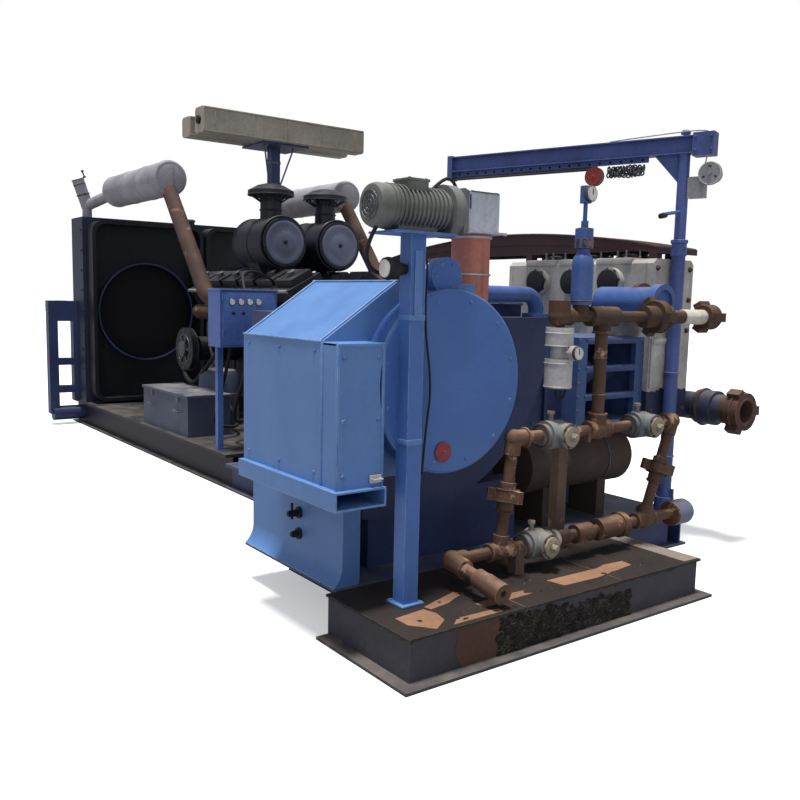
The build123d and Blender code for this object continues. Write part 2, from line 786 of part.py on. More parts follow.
with BuildPart() as manifold_middle_run:
    valve_faces = (mid_valve_left_x - valve_length / 2, mid_valve_left_x + valve_length / 2,
                   mid_valve_right_x - valve_length / 2, mid_valve_right_x + valve_length / 2)
    rod(mid_left, in_plane(valve_faces[0], mid_z), pipe_radius)
    rod(in_plane(valve_faces[1], mid_z), in_plane(valve_faces[2], mid_z), pipe_radius)
    rod(in_plane(valve_faces[3], mid_z), mid_right, pipe_radius)
    for centre, far, side in ((mid_left, low_left, riser_low), (mid_right, low_right, riser_low)):
        ball(centre, fitting_radius)
        socketed(centre, far)
        socketed(centre, side)
    ball(riser_low, fitting_radius + 8)
    socketed(riser_low, riser_high, fitting_radius)
    socketed(riser_low, mid_left, fitting_radius)
    socketed(riser_low, mid_right, fitting_radius)
    rod(riser_low, along(riser_low, riser_high, top_z - mid_z - socket_length), pipe_radius + 4)
save(manifold_middle_run, "manifold_middle_run")

with BuildPart() as plug_valves:
    for x, z in ((low_valve_x, low_z), (mid_valve_left_x, mid_z), (mid_valve_right_x, mid_z)):
        half_body = valve_length / 2
        rod(in_plane(x - half_body, z), in_plane(x + half_body, z), valve_radius - 16)
        rod(in_plane(x - half_body + 30, z), in_plane(x + half_body - 60, z), valve_radius)
        rod((x + 20, manifold_y + valve_radius - 10, z), (x + 20, manifold_y - valve_radius - 24, z),
            valve_radius - 8)
        rod((x + 20, manifold_y - valve_radius - 24, z), (x + 20, manifold_y - valve_radius - 44, z), 30)
        rod((x - 30, manifold_y, z), (x - 30, manifold_y, z + valve_radius + 34), 14)
save(plug_valves, "plug_valves")

with BuildPart() as manifold_top_run:
    rod(top_left, in_plane(end_nut_x, top_z), pipe_radius)
    ball(top_left, fitting_radius + 10)
    socketed(top_left, in_plane(top_elbow_x, top_z + 100), fitting_radius + 8)
    socketed(top_left, riser_high, fitting_radius)
    ball(riser_high, fitting_radius + 8)
    socketed(riser_high, riser_low, fitting_radius)
    rod(in_plane(riser_x - 105, top_z), in_plane(riser_x + 105, top_z), fitting_radius + 6)
    rod(in_plane(check_x - 150, top_z), in_plane(check_x - 60, top_z), 62)
    rod(in_plane(check_x - 60, top_z), in_plane(check_x, top_z), check_radius - 22)
    rod(in_plane(check_x, top_z), in_plane(check_x + 60, top_z), 68)
    rod(in_plane(check_x + 90, top_z), in_plane(end_nut_x - 120, top_z), 38)
    rod(in_plane(bottle_x, top_z), in_plane(bottle_x, top_z + 60), 42)
    with Locations(Plane(origin=in_plane(check_x - 60, top_z), z_dir=(1, 0, 0))):
        with PolarLocations(check_radius - 16, 3, start_angle=90):
            Box(44, 50, 60, align=(Align.CENTER, Align.CENTER, Align.MIN))
    rod(in_plane(end_nut_x, top_z), in_plane(end_nut_x + 95, top_z), 72)
    with Locations(Plane(origin=in_plane(end_nut_x, top_z), z_dir=(1, 0, 0))):
        with PolarLocations(72, 3, start_angle=90):
            Box(48, 52, 95, align=(Align.CENTER, Align.CENTER, Align.MIN))
save(manifold_top_run, "manifold_top_run")

with BuildPart() as pulsation_bottle:
    bottle_base = top_z + 60
    neck = bottle_radius * 0.55
    shoulder = bottle_top - 70
    with BuildSketch(Plane(origin=in_plane(bottle_x, 0), x_dir=(1, 0, 0), z_dir=(0, -1, 0))):
        with BuildLine():
            Polyline((0, bottle_base), (bottle_radius, bottle_base), (bottle_radius, shoulder))
            ThreePointArc((bottle_radius, shoulder), (bottle_radius * 0.86, shoulder + 42), (neck, bottle_top))
            Polyline((neck, bottle_top), (neck, bottle_top + 20), (neck + 16, bottle_top + 20),
                     (neck + 16, bottle_top + 120), (neck - 12, bottle_top + 120), (neck - 12, bottle_top + 160),
                     (11, bottle_top + 160), (11, bottle_top + 250), (0, bottle_top + 250), (0, bottle_base))
        make_face()
    revolve(axis=Axis(in_plane(bottle_x, 0), (0, 0, 1)))
    gauge_z = bottle_top + 250
    rod((bottle_x, manifold_y, gauge_z), (bottle_x, manifold_y, gauge_z + 86), 30)
save(pulsation_bottle, "pulsation_bottle")

with BuildPart() as filter_pair:
    filter_x = top_elbow_x + 10
    filter_top = top_z - fitting_radius - 10 - 0.3
    rod(in_plane(filter_x, filter_top), in_plane(filter_x, filter_top - 90), filter_radius)
    rod(in_plane(filter_x, filter_top - 90), in_plane(filter_x, filter_top - 160), 46)
    rod(in_plane(filter_x, filter_top - 160), in_plane(filter_x, filter_top - 310), filter_radius)
    gauge_y = manifold_y - filter_radius - 30
    rod((filter_x - 10, manifold_y, filter_top - 125), (filter_x - 10, gauge_y, filter_top - 125), 12)
    rod((filter_x - 10, gauge_y, filter_top - 125), (filter_x - 10, gauge_y - 28, filter_top - 125), 38)
save(filter_pair, "filter_pair")

with BuildPart() as manifold_supports:
    support_x = left_low_x + socket_length + 40
    block(support_x - 30, support_x + 30, manifold_y - 30, manifold_y + 30, platform_height, low_z)
    bracket_x = riser_x - 90
    block(bracket_x - 35, bracket_x + 35, manifold_y + 150, manifold_y + 210, platform_height, mid_z)
    block(bracket_x - 8, bracket_x + 8, manifold_y - 30, manifold_y + 160, mid_z - 60, mid_z)
    add(manifold_lower_run.part, mode=Mode.SUBTRACT)
    add(manifold_middle_run.part, mode=Mode.SUBTRACT)
save(manifold_supports, "manifold_supports")

# === jib: lower mast, swivelling boom, winch =======================================
with BuildPart() as jib_mast:
    block(mast_x - 75, mast_x + 75, mast_y - 80, mast_y + 160, skid_height, mast_foot_z)
    rod((mast_x, mast_y, mast_foot_z), (mast_x, mast_y, mast_top), mast_outer)
    rod((mast_x, mast_y, mast_foot_z), (mast_x, mast_y, mast_foot_z + 90), mast_outer + 20)
    rod((mast_x, mast_y, mast_top - 50), (mast_x, mast_y, mast_top), mast_outer + 6)
    rod((mast_x, mast_y, mast_top - swivel_engagement), (mast_x, mast_y, mast_top + 1), mast_bore,
        mode=Mode.SUBTRACT)
    for y in (mast_y - 70, mast_y + 60):
        block(mast_x - 6, mast_x + 6, min(y, mast_y), max(y, mast_y), mast_foot_z, mast_foot_z + 150)
save(jib_mast, "jib_mast")

boom_turn = Plane(origin=(mast_x, mast_y, 0), x_dir=(cos(radians(boom_angle)), sin(radians(boom_angle)), 0),
                  z_dir=(0, 0, 1))
boom_bottom = boom_z - boom_height / 2
boom_top = boom_z + boom_height / 2
with BuildPart(boom_turn) as jib_boom:
    swivel_foot = mast_top - swivel_engagement + swivel_gap
    rod((0, 0, swivel_foot), (0, 0, boom_bottom), swivel_radius)
    rod((0, 0, mast_top + swivel_gap), (0, 0, mast_top + swivel_gap + 26), mast_outer + 4)
    half_boom = boom_width / 2
    block(-130, boom_length, -half_boom, half_boom, boom_bottom, boom_bottom + boom_plate)
    block(-130, boom_length, -half_boom, half_boom, boom_top - boom_plate, boom_top)
    block(-130, boom_length, -boom_plate / 2, boom_plate / 2, boom_bottom, boom_top)
    block(-190, -60, -half_boom - 8, half_boom + 8, boom_bottom - 20, boom_top + 12)
    block(boom_length, boom_length + 40, -half_boom, half_boom, boom_bottom - 60, boom_top + 8)
    block(230, boom_length, -boom_plate / 2, boom_plate / 2, boom_bottom - 34, boom_bottom)
    with BuildSketch(Plane(origin=boom_turn.from_local_coords((0, boom_plate / 2, 0)), x_dir=boom_turn.x_dir,
                           z_dir=-boom_turn.y_dir)):
        Polygon((20, boom_bottom), (190, boom_bottom), (20, boom_bottom - 190), align=None)
    extrude(amount=boom_plate)
    rod((0, 0, winch_z - 150), (30, 260, winch_z - 190), 11)
save(jib_boom, "jib_boom")

wheel_x = -winch_reach - 30
wheel_z = winch_z + 70
wheel_y = 34
with BuildPart(boom_turn) as jib_winch:
    block(-winch_reach + 10, -swivel_radius - 0.3, -44, wheel_y - 9, winch_z - 70, winch_z + 60)
    rod((wheel_x, -40, wheel_z), (wheel_x, wheel_y - 9, wheel_z), 52)
    rod((wheel_x, wheel_y - 9, wheel_z), (wheel_x, wheel_y + wheel_width + 14, wheel_z),
        wheel_bore - fit_clearance)
save(jib_winch, "jib_winch")

with BuildPart(boom_turn) as winch_wheel:
    rod((wheel_x, wheel_y, wheel_z), (wheel_x, wheel_y + wheel_width, wheel_z), wheel_radius)
    rod((wheel_x, wheel_y + 8, wheel_z), (wheel_x, wheel_y + wheel_width - 8, wheel_z), wheel_radius + 1,
        mode=Mode.SUBTRACT)
    rod((wheel_x, wheel_y, wheel_z), (wheel_x, wheel_y + wheel_width, wheel_z), wheel_radius * 0.55)
    rod((wheel_x, wheel_y, wheel_z), (wheel_x, wheel_y + 8, wheel_z), wheel_radius)
    rod((wheel_x, wheel_y + wheel_width - 8, wheel_z), (wheel_x, wheel_y + wheel_width, wheel_z), wheel_radius)
    for i in range(3):
        turn = radians(90 + 120 * i)
        hole_x = wheel_x + cos(turn) * wheel_radius * 0.6
        hole_z = wheel_z + sin(turn) * wheel_radius * 0.6
        rod((hole_x, wheel_y - 1, hole_z), (hole_x, wheel_y + wheel_width + 1, hole_z), 9, mode=Mode.SUBTRACT)
    rod((wheel_x, wheel_y - 1, wheel_z), (wheel_x, wheel_y + wheel_width + 1, wheel_z), wheel_bore,
        mode=Mode.SUBTRACT)
save(winch_wheel, "winch_wheel")

with BuildPart(boom_turn) as hook_block:
    hook_x = 600
    hook_z = boom_bottom - 34 - 66
    rod((hook_x, -18, hook_z), (hook_x, 18, hook_z), 62)
    block(hook_x - 14, hook_x + 14, -18, 18, hook_z, boom_bottom - 34)
    cable_z = boom_bottom - 34 - 13 - fit_clearance
    rod((hook_x, 0, cable_z), (boom_length, 0, cable_z), 13)
save(hook_block, "hook_block")

# === engine ========================================================================
def bank_plane(side):
    tilt = radians(bank_angle)
    return Plane(origin=(engine_x, 0, crank_height), x_dir=(0, 1, 0),
                 z_dir=(side * sin(tilt), 0, cos(tilt)))


engine_rear = engine_front + engine_length
with BuildPart() as engine_block:
    with BuildSketch(xz_plane(engine_rear)):
        with Locations((engine_x, crank_height - 60)):
            Rectangle(block_half_width * 2, 520)
        for side in (-1, 1):
            with Locations(Location((engine_x, crank_height), (0, 0, -side * bank_angle))):
                Rectangle(bank_width, bank_height, align=(Align.CENTER, Align.MIN))
        with Locations((engine_x, crank_height + 300)):
            Rectangle(bank_width, 300)
    extrude(amount=engine_length)
    block(engine_x - 230, engine_x + 230, engine_front + 80, engine_rear - 80, crank_height - 500,
          crank_height - 300)
    for y in (engine_front + 250, engine_rear - 250):
        block(engine_x - block_half_width - 60, engine_x + block_half_width + 60, y - 60, y + 60,
              engine_skid_height, crank_height - 300)
save(engine_block, "engine_block")

head_pitch = engine_length / heads_per_bank


def cylinder_heads(side):
    with BuildPart(bank_plane(side)) as heads:
        for i in range(heads_per_bank):
            y = engine_front + head_pitch * (i + 0.5)
            half_head = (head_pitch - head_gap) / 2
            block(y - half_head, y + half_head, -bank_width * 0.55, bank_width * 0.55,
                  bank_height, bank_height + head_height * 0.55)
            block(y - half_head + 20, y + half_head - 20, -bank_width * 0.36, bank_width * 0.36,
                  bank_height + head_height * 0.55, bank_height + head_height)
    return heads


with BuildPart() as head_rows:
    add(cylinder_heads(-1).part)
    add(cylinder_heads(1).part)
save(head_rows, "cylinder_heads")

with BuildPart() as gearbox:
    bell_face = engine_front - bell_length
    case_face = bell_face - gearbox_taper
    case_bottom = crank_height - gearbox_radius - 30
    half_foot = gearbox_foot_width / 2
    rod((engine_x, engine_front, crank_height), (engine_x, bell_face, crank_height), bell_radius)
    with BuildSketch(xz_plane(bell_face)):
        with Locations((engine_x, crank_height)):
            Circle(bell_radius - 50)
    with BuildSketch(xz_plane(case_face)):
        with Locations((engine_x, crank_height)):
            Circle(gearbox_radius)
    loft()
    block(engine_x - half_foot - 30, engine_x + half_foot + 30, belt_guard_rear, case_face, case_bottom,
          crank_height + gearbox_radius)
    block(engine_x - half_foot, engine_x + half_foot, belt_guard_rear + 60, engine_skid_front - 60,
          skid_height, case_bottom)
save(gearbox, "gearbox")

for side, name in ((-1, "left"), (1, "right")):
    cleaner_x = engine_x + side * air_cleaner_spread
    mid = air_cleaner_front + air_cleaner_length * 0.6
    with BuildPart(bank_plane(side)) as cleaner_foot:
        inner = side * bank_width * 0.35
        outer = side * bank_width * 0.06
        block(mid - 115, mid + 115, min(inner, outer), max(inner, outer), bank_height + head_height,
              bank_height + head_height + 190)
    with BuildPart() as air_cleaner:
        front = (cleaner_x, air_cleaner_front, air_cleaner_z)
        back = (cleaner_x, air_cleaner_front + air_cleaner_length, air_cleaner_z)
        rod((cleaner_x, air_cleaner_front + 40, air_cleaner_z), back, air_cleaner_radius)
        rod(front, (cleaner_x, air_cleaner_front + 40, air_cleaner_z), air_cleaner_radius - 18)
        add(cleaner_foot.part)
        neck_y = air_cleaner_front + air_cleaner_length * 0.45
        rod((cleaner_x, neck_y, air_cleaner_z), (cleaner_x, neck_y, rain_cap_z), neck_radius)
        with BuildSketch(Plane(origin=(cleaner_x, neck_y, rain_cap_z), x_dir=(1, 0, 0), z_dir=(0, -1, 0))):
            with BuildLine():
                Polyline((0, 0), (rain_cap_radius, 0), (rain_cap_radius, 45), (rain_cap_radius * 0.6, 95),
                         (60, 115), (0, 115), (0, 0))
            make_face()
        revolve(axis=Axis((cleaner_x, neck_y, rain_cap_z), (0, 0, 1)))
    save(air_cleaner, "air_cleaner_" + name)

# === exhaust: risers, mufflers, tail pipes and rain flaps ==========================
stub_tilt = sqrt(1 + stub_lean ** 2)
for side, name in ((-1, "left"), (1, "right")):
    muffler_x = engine_x + side * muffler_spread
    front_y = muffler_front + 150
    with BuildPart() as exhaust_riser:
        log_out = -side * (bank_width / 2 + log_radius)
        entry = bank_plane(side).from_local_coords((engine_front + 600, log_out, log_height))
        with BuildLine():
            FilletPolyline((muffler_x, front_y, muffler_z), (muffler_x, entry.Y + 60, entry.Z + 140),
                           tuple(entry), radius=170)
        with BuildSketch(Plane(origin=(muffler_x, front_y, muffler_z),
                               z_dir=(0, entry.Y + 60 - front_y, entry.Z + 140 - muffler_z))):
            Circle(riser_radius)
        sweep()
        rod((muffler_x, muffler_front, muffler_z), (muffler_x, muffler_front + muffler_length, muffler_z),
            muffler_radius + 0.3, mode=Mode.SUBTRACT)
        log_start = bank_plane(side).from_local_coords((engine_front + 150, log_out, log_height))
        log_end = bank_plane(side).from_local_coords((engine_rear - 150, log_out, log_height))
        rod(tuple(log_start), tuple(log_end), log_radius)
        for i in range(heads_per_bank):
            y = engine_front + head_pitch * (i + 0.5)
            port = bank_plane(side).from_local_coords((y, log_out, log_height))
            face = bank_plane(side).from_local_coords((y, -side * bank_width / 2, log_height))
            rod(tuple(port), tuple(face), 55)
    save(exhaust_riser, "exhaust_riser_" + name)

    with BuildPart() as muffler:
        tail_end = (muffler_x + side * 210, radiator_front + 230, muffler_z - 140)
        rear = (muffler_x, muffler_front + muffler_length, muffler_z)
        rod((muffler_x, muffler_front, muffler_z), rear, muffler_radius)
        fillet(muffler.edges().filter_by(GeomType.CIRCLE), 24)
        rod((muffler_x, muffler_front + muffler_length - 40, muffler_z), tail_end, tail_radius)
        ball(tail_end, tail_radius + 8)
        stub_top = (tail_end[0] + side * stub_lean * 290, tail_end[1], tail_end[2] + 290)
        rod(tail_end, stub_top, tail_radius + 6)
        rod(tail_end, stub_top, tail_radius, mode=Mode.SUBTRACT)
        ball(tail_end, tail_radius + 8)
        rod((tail_end[0], tail_end[1], radiator_top), tail_end, tail_radius - 8)
    save(muffler, "muffler_" + name)

    stub_axis = (side * stub_lean / stub_tilt, 0, 1 / stub_tilt)
    flap_plane = Plane(origin=stub_top, x_dir=(0, 1, 0), z_dir=stub_axis)
    with BuildPart(flap_plane) as rain_flap:
        with Locations((0, 0, flap_gap)):
            Cylinder(tail_radius + 12, flap_thickness, align=(Align.CENTER, Align.CENTER, Align.MIN))
        hinge_y = side * (tail_radius + 22)
        block(-34, 34, min(0, hinge_y), max(0, hinge_y), flap_gap, flap_gap + flap_thickness)
        rod((-34, hinge_y, flap_gap + 8), (34, hinge_y, flap_gap + 8), 8)
        block(-8, 8, hinge_y - 6, hinge_y + 6, flap_gap + 8, flap_gap + 80)
    save(rain_flap, "rain_flap_" + name)

# === radiator ======================================================================
radiator_rear = radiator_front + radiator_depth
with BuildPart() as radiator:
    block(engine_skid_left, engine_skid_right, radiator_front, radiator_rear, engine_skid_height, radiator_top)
    block(engine_skid_left + radiator_side, engine_skid_right - radiator_side, radiator_front - 1,
          radiator_rear + 1, engine_skid_height + radiator_side, radiator_top - radiator_side * 1.6,
          mode=Mode.SUBTRACT)
    block(engine_skid_left + radiator_side, engine_skid_right - radiator_side, radiator_front + core_recess,
          radiator_rear - core_recess, engine_skid_height + radiator_side, radiator_top - radiator_side * 1.6)
    rod((engine_x, radiator_front + 200, radiator_top), (engine_x, radiator_front + 200, radiator_top + 45), 60)
save(radiator, "radiator")

bay_width = (engine_skid_right - engine_skid_left - 3 * radiator_side * 0.4) / 2
bay_bottom = engine_skid_height + 30
bay_height = radiator_top - bay_bottom - 40
for side, name in ((-1, "left"), (1, "right")):
    bay_x = (engine_skid_left + engine_skid_right) / 2 + side * (bay_width + radiator_side * 0.4) / 2
    bay_z = bay_bottom + bay_height / 2
    with BuildPart() as fan_shroud:
        with BuildSketch(xz_plane(radiator_front)):
            with Locations((bay_x, bay_z)):
                RectangleRounded(bay_width, bay_height, 140)
        extrude(amount=shroud_depth)
        with BuildSketch(xz_plane(radiator_front - shroud_wall)):
            with Locations((bay_x, bay_z)):
                RectangleRounded(bay_width - 2 * shroud_wall, bay_height - 2 * shroud_wall, 120)
        extrude(amount=shroud_depth, mode=Mode.SUBTRACT)
        rod((bay_x, radiator_front, bay_z), (bay_x, radiator_front - shroud_wall - 60, bay_z), bay_radius + 20)
        rod((bay_x, radiator_front + 1, bay_z), (bay_x, radiator_front - shroud_depth, bay_z), bay_radius,
            mode=Mode.SUBTRACT)
    save(fan_shroud, "fan_shroud_" + name)

# === boxes and the side compressor =================================================
with BuildPart() as control_box:
    box_x0 = engine_skid_left - 10
    box_x1 = box_x0 + control_box_width
    box_y1 = control_box_front + control_box_depth
    block(box_x0, box_x1, control_box_front, box_y1, control_box_bottom,
          control_box_bottom + control_box_height)
    for x in (box_x0 + 80, box_x1 - 80):
        block(x - 25, x + 25, box_y1 - 60, box_y1 - 10, engine_skid_height, control_box_bottom)
save(control_box, "control_box")

with BuildPart() as battery_box:
    block(battery_box_left, battery_box_left + battery_box_width, battery_box_front,
          battery_box_front + battery_box_length, engine_skid_height, engine_skid_height + battery_box_height)
    block(battery_box_left - 12, battery_box_left + battery_box_width + 12, battery_box_front - 12,
          battery_box_front + battery_box_length + 12, engine_skid_height + battery_box_height,
          engine_skid_height + battery_box_height + 24)
save(battery_box, "battery_box")

with BuildPart() as side_compressor:
    block_side = engine_x - block_half_width
    barrel_end = block_side - compressor_length
    neck_end = barrel_end - compressor_neck
    wheel_end = neck_end - compressor_wheel_depth
    rod((block_side, compressor_y, compressor_z), (barrel_end, compressor_y, compressor_z), compressor_radius)
    rod((barrel_end, compressor_y, compressor_z), (neck_end, compressor_y, compressor_z), compressor_radius / 2)
    rod((neck_end, compressor_y, compressor_z), (wheel_end, compressor_y, compressor_z), compressor_wheel)
save(side_compressor, "side_compressor")

# === light bars on their mast ======================================================
with BuildPart() as light_mast:
    half_mast = light_mast_size / 2
    light_bottom = light_z - light_height / 2
    valley = crank_height + light_mast_foot
    block(engine_x - half_mast, engine_x + half_mast, light_mast_y - half_mast, light_mast_y + half_mast,
          valley, light_bottom - 20)
    block(engine_x - 260, engine_x + 260, light_front_y - 60, light_mast_y + half_mast + 160,
          light_bottom - 20, light_bottom)
save(light_mast, "light_mast")

with BuildPart() as light_bars:
    rear_y = light_front_y + light_pitch
    block(engine_x - light_length / 2, engine_x + light_length / 2, light_front_y - light_depth / 2,
          light_front_y + light_depth / 2, light_bottom, light_bottom + light_height)
    block(engine_x - light_length / 2, engine_x + light_length / 2, rear_y - light_depth / 2,
          rear_y + light_depth / 2, light_bottom, light_bottom + light_height * 0.8)
    chamfer(light_bars.edges().filter_by(Axis.X), 24)
save(light_bars, "light_bars")
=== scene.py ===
import bpy, bmesh, json
from math import cos, pi, radians, sin, sqrt
from random import Random
from mathutils import Matrix, Vector

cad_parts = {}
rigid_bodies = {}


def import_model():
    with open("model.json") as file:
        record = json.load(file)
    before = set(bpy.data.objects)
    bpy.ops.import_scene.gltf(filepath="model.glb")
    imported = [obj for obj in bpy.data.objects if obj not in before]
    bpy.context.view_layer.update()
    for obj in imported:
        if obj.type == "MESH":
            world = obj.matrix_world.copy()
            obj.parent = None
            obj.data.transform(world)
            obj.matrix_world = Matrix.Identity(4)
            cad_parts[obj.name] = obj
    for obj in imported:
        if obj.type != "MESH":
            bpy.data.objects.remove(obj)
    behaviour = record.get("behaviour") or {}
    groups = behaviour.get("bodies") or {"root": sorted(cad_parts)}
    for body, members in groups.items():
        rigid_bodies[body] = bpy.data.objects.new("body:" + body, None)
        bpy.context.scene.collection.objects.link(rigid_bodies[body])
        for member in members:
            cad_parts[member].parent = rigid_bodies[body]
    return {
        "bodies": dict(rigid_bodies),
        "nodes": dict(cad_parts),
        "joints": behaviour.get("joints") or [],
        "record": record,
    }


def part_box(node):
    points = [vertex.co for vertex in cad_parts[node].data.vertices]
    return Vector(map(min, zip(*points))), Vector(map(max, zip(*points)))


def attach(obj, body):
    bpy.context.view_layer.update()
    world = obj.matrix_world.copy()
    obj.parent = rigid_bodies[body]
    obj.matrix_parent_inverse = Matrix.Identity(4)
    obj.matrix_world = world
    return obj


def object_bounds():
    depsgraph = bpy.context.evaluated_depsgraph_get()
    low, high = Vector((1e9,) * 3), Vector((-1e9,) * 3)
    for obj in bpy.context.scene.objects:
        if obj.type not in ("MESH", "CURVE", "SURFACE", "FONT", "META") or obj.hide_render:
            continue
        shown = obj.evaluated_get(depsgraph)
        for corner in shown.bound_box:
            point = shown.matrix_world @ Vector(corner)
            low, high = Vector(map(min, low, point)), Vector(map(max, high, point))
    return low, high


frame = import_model()
cadLow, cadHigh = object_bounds()
nodes = frame["nodes"]
unitBody = "unit"


# ---- materials --------------------------------------------------------------------
def hexColour(text):
    parts = [int(text[i:i + 2], 16) / 255 for i in (1, 3, 5)]
    return [((p + 0.055) / 1.055) ** 2.4 if p > 0.04045 else p / 12.92 for p in parts] + [1.0]


def shaderNode(tree, kind, values=None, **settings):
    made = tree.nodes.new(kind)
    for key, value in settings.items():
        setattr(made, key, value)
    for key, value in (values or {}).items():
        made.inputs[key].default_value = value
    return made


def noiseMask(tree, vector, scale, low, high, detail=6.0, roughness=0.62):
    noise = shaderNode(tree, "ShaderNodeTexNoise", {"Scale": scale, "Detail": detail, "Roughness": roughness})
    tree.links.new(vector, noise.inputs["Vector"])
    ramp = shaderNode(tree, "ShaderNodeMapRange", {"From Min": low, "From Max": high})
    tree.links.new(noise.outputs["Fac"], ramp.inputs["Value"])
    return ramp.outputs["Result"]


def mathOf(tree, operation, first, second):
    made = shaderNode(tree, "ShaderNodeMath", operation=operation)
    for index, value in enumerate((first, second)):
        if isinstance(value, (int, float)):
            made.inputs[index].default_value = value
        else:
            tree.links.new(value, made.inputs[index])
    return made.outputs[0]


def mixColour(tree, factor, first, second):
    made = shaderNode(tree, "ShaderNodeMix", data_type="RGBA")
    if isinstance(factor, (int, float)):
        made.inputs[0].default_value = factor
    else:
        tree.links.new(factor, made.inputs[0])
    for index, value in ((6, first), (7, second)):
        if isinstance(value, list):
            made.inputs[index].default_value = value
        else:
            tree.links.new(value, made.inputs[index])
    return made.outputs[2]


finishBase = {
    "paint": "#26304a", "fade": "#33405e", "rust": "#6a4630", "rustAmount": 0.25, "rustScale": 3.0,
    "streak": "#3a2c24", "streakAmount": 0.3, "dust": "#8c8172", "dustAmount": 0.35,
    "chip": "#7d7468", "chipAmount": 0.5, "grime": "#15151a", "grimeAmount": 0.25,
    "roughness": 0.5, "metallic": 0.0, "bump": 0.25, "grain": 42.0, "edgeWidth": 0.006,
}


def wornSurface(tree, look):
    surface = shaderNode(tree, "ShaderNodeBsdfPrincipled", {"Metallic": look["metallic"]})
    surface.inputs["Specular IOR Level"].default_value = 0.35
    place = shaderNode(tree, "ShaderNodeTexCoord").outputs["Object"]
    geometry = shaderNode(tree, "ShaderNodeNewGeometry")
    split = shaderNode(tree, "ShaderNodeSeparateXYZ")
    tree.links.new(geometry.outputs["Normal"], split.inputs[0])

    broad = noiseMask(tree, place, 1.7, 0.35, 0.68)
    colour = mixColour(tree, broad, hexColour(look["paint"]), hexColour(look["fade"]))
    speckle = mathOf(tree, "MULTIPLY", noiseMask(tree, place, look["grain"], 0.35, 0.7), 0.22)
    colour = mixColour(tree, speckle, colour, hexColour(look["grime"]))

    grime = mathOf(tree, "MULTIPLY", noiseMask(tree, place, 2.6, 0.42, 0.72), look["grimeAmount"])
    colour = mixColour(tree, grime, colour, hexColour(look["grime"]))

    stretch = shaderNode(tree, "ShaderNodeMapping", {"Scale": (16.0, 16.0, 1.1)})
    tree.links.new(place, stretch.inputs["Vector"])
    runs = mathOf(tree, "MULTIPLY", noiseMask(tree, stretch.outputs[0], 1.0, 0.55, 0.75), look["streakAmount"])
    colour = mixColour(tree, runs, colour, hexColour(look["streak"]))

    # Upward faces blend towards a lighter top colour: settled dust on some finishes, a painted sunlit top or highlight
    # on others.
    upward = shaderNode(tree, "ShaderNodeMapRange", {"From Min": 0.55, "From Max": 0.95})
    tree.links.new(split.outputs["Z"], upward.inputs["Value"])
    topDustAndLightMask = mathOf(tree, "MULTIPLY", upward.outputs["Result"], noiseMask(tree, place, 5.0, 0.3, 0.65))
    topDustAndLightMask = mathOf(tree, "MULTIPLY", topDustAndLightMask, look["dustAmount"])
    colour = mixColour(tree, topDustAndLightMask, colour, hexColour(look["dust"]))

    edge = 0.72 - 0.34 * look["rustAmount"]
    rustMask = noiseMask(tree, place, look["rustScale"], edge, edge + 0.05, 9.0, 0.7)
    rustTone = mixColour(tree, noiseMask(tree, place, 22.0, 0.35, 0.7), hexColour(look["rust"]),
                         hexColour(look["chip"]))
    colour = mixColour(tree, mathOf(tree, "MULTIPLY", rustMask, 0.9), colour, rustTone)

    rounded = shaderNode(tree, "ShaderNodeBevel", {"Radius": look["edgeWidth"]}, samples=2)
    facing = shaderNode(tree, "ShaderNodeVectorMath", operation="DOT_PRODUCT")
    tree.links.new(rounded.outputs[0], facing.inputs[0])
    tree.links.new(geometry.outputs["Normal"], facing.inputs[1])
    worn = shaderNode(tree, "ShaderNodeMapRange", {"From Min": 0.985, "From Max": 0.9})
    tree.links.new(facing.outputs["Value"], worn.inputs["Value"])
    chips = mathOf(tree, "MULTIPLY", worn.outputs["Result"], noiseMask(tree, place, 17.0, 0.42, 0.58))
    chips = mathOf(tree, "MULTIPLY", chips, look["chipAmount"])
    colour = mixColour(tree, chips, colour, hexColour(look["chip"]))
    tree.links.new(colour, surface.inputs["Base Color"])

    rough = shaderNode(tree, "ShaderNodeMapRange", {"To Min": look["roughness"], "To Max": 0.92})
    tree.links.new(mathOf(tree, "MAXIMUM", rustMask, topDustAndLightMask), rough.inputs["Value"])
    tree.links.new(rough.outputs["Result"], surface.inputs["Roughness"])

    height = mathOf(tree, "ADD", mathOf(tree, "MULTIPLY", rustMask, 0.5),
                    noiseMask(tree, place, look["grain"] * 1.6, 0.2, 0.8, 8.0, 0.75))
    bump = shaderNode(tree, "ShaderNodeBump", {"Strength": look["bump"], "Distance": 0.004})
    tree.links.new(height, bump.inputs["Height"])
    tree.links.new(bump.outputs[0], surface.inputs["Normal"])
    return surface


def emptyMaterial(name):
    material = bpy.data.materials.new(name)
    material.use_nodes = True
    material.node_tree.nodes.clear()
    return material, material.node_tree, shaderNode(material.node_tree, "ShaderNodeOutputMaterial")


def wornFinish(name, **changes):
    material, tree, output = emptyMaterial(name)
    surface = wornSurface(tree, dict(finishBase, **changes))
    tree.links.new(surface.outputs[0], output.inputs[0])
    return material


def splitFinish(name, axis, edge, below, above):    # two paints that meet at one height or depth
    material, tree, output = emptyMaterial(name)
    split = shaderNode(tree, "ShaderNodeSeparateXYZ")
    place = shaderNode(tree, "ShaderNodeTexCoord").outputs["Object"]
    tree.links.new(place, split.inputs[0])
    ragged = mathOf(tree, "MULTIPLY", noiseMask(tree, place, 14.0, 0.3, 0.7), 0.03)
    past = mathOf(tree, "GREATER_THAN", mathOf(tree, "ADD", split.outputs[axis], ragged), edge + 0.015)
    pick = shaderNode(tree, "ShaderNodeMixShader")
    tree.links.new(past, pick.inputs[0])
    for index, look in ((1, below), (2, above)):
        tree.links.new(wornSurface(tree, dict(finishBase, **look)).outputs[0], pick.inputs[index])
    tree.links.new(pick.outputs[0], output.inputs[0])
    return material


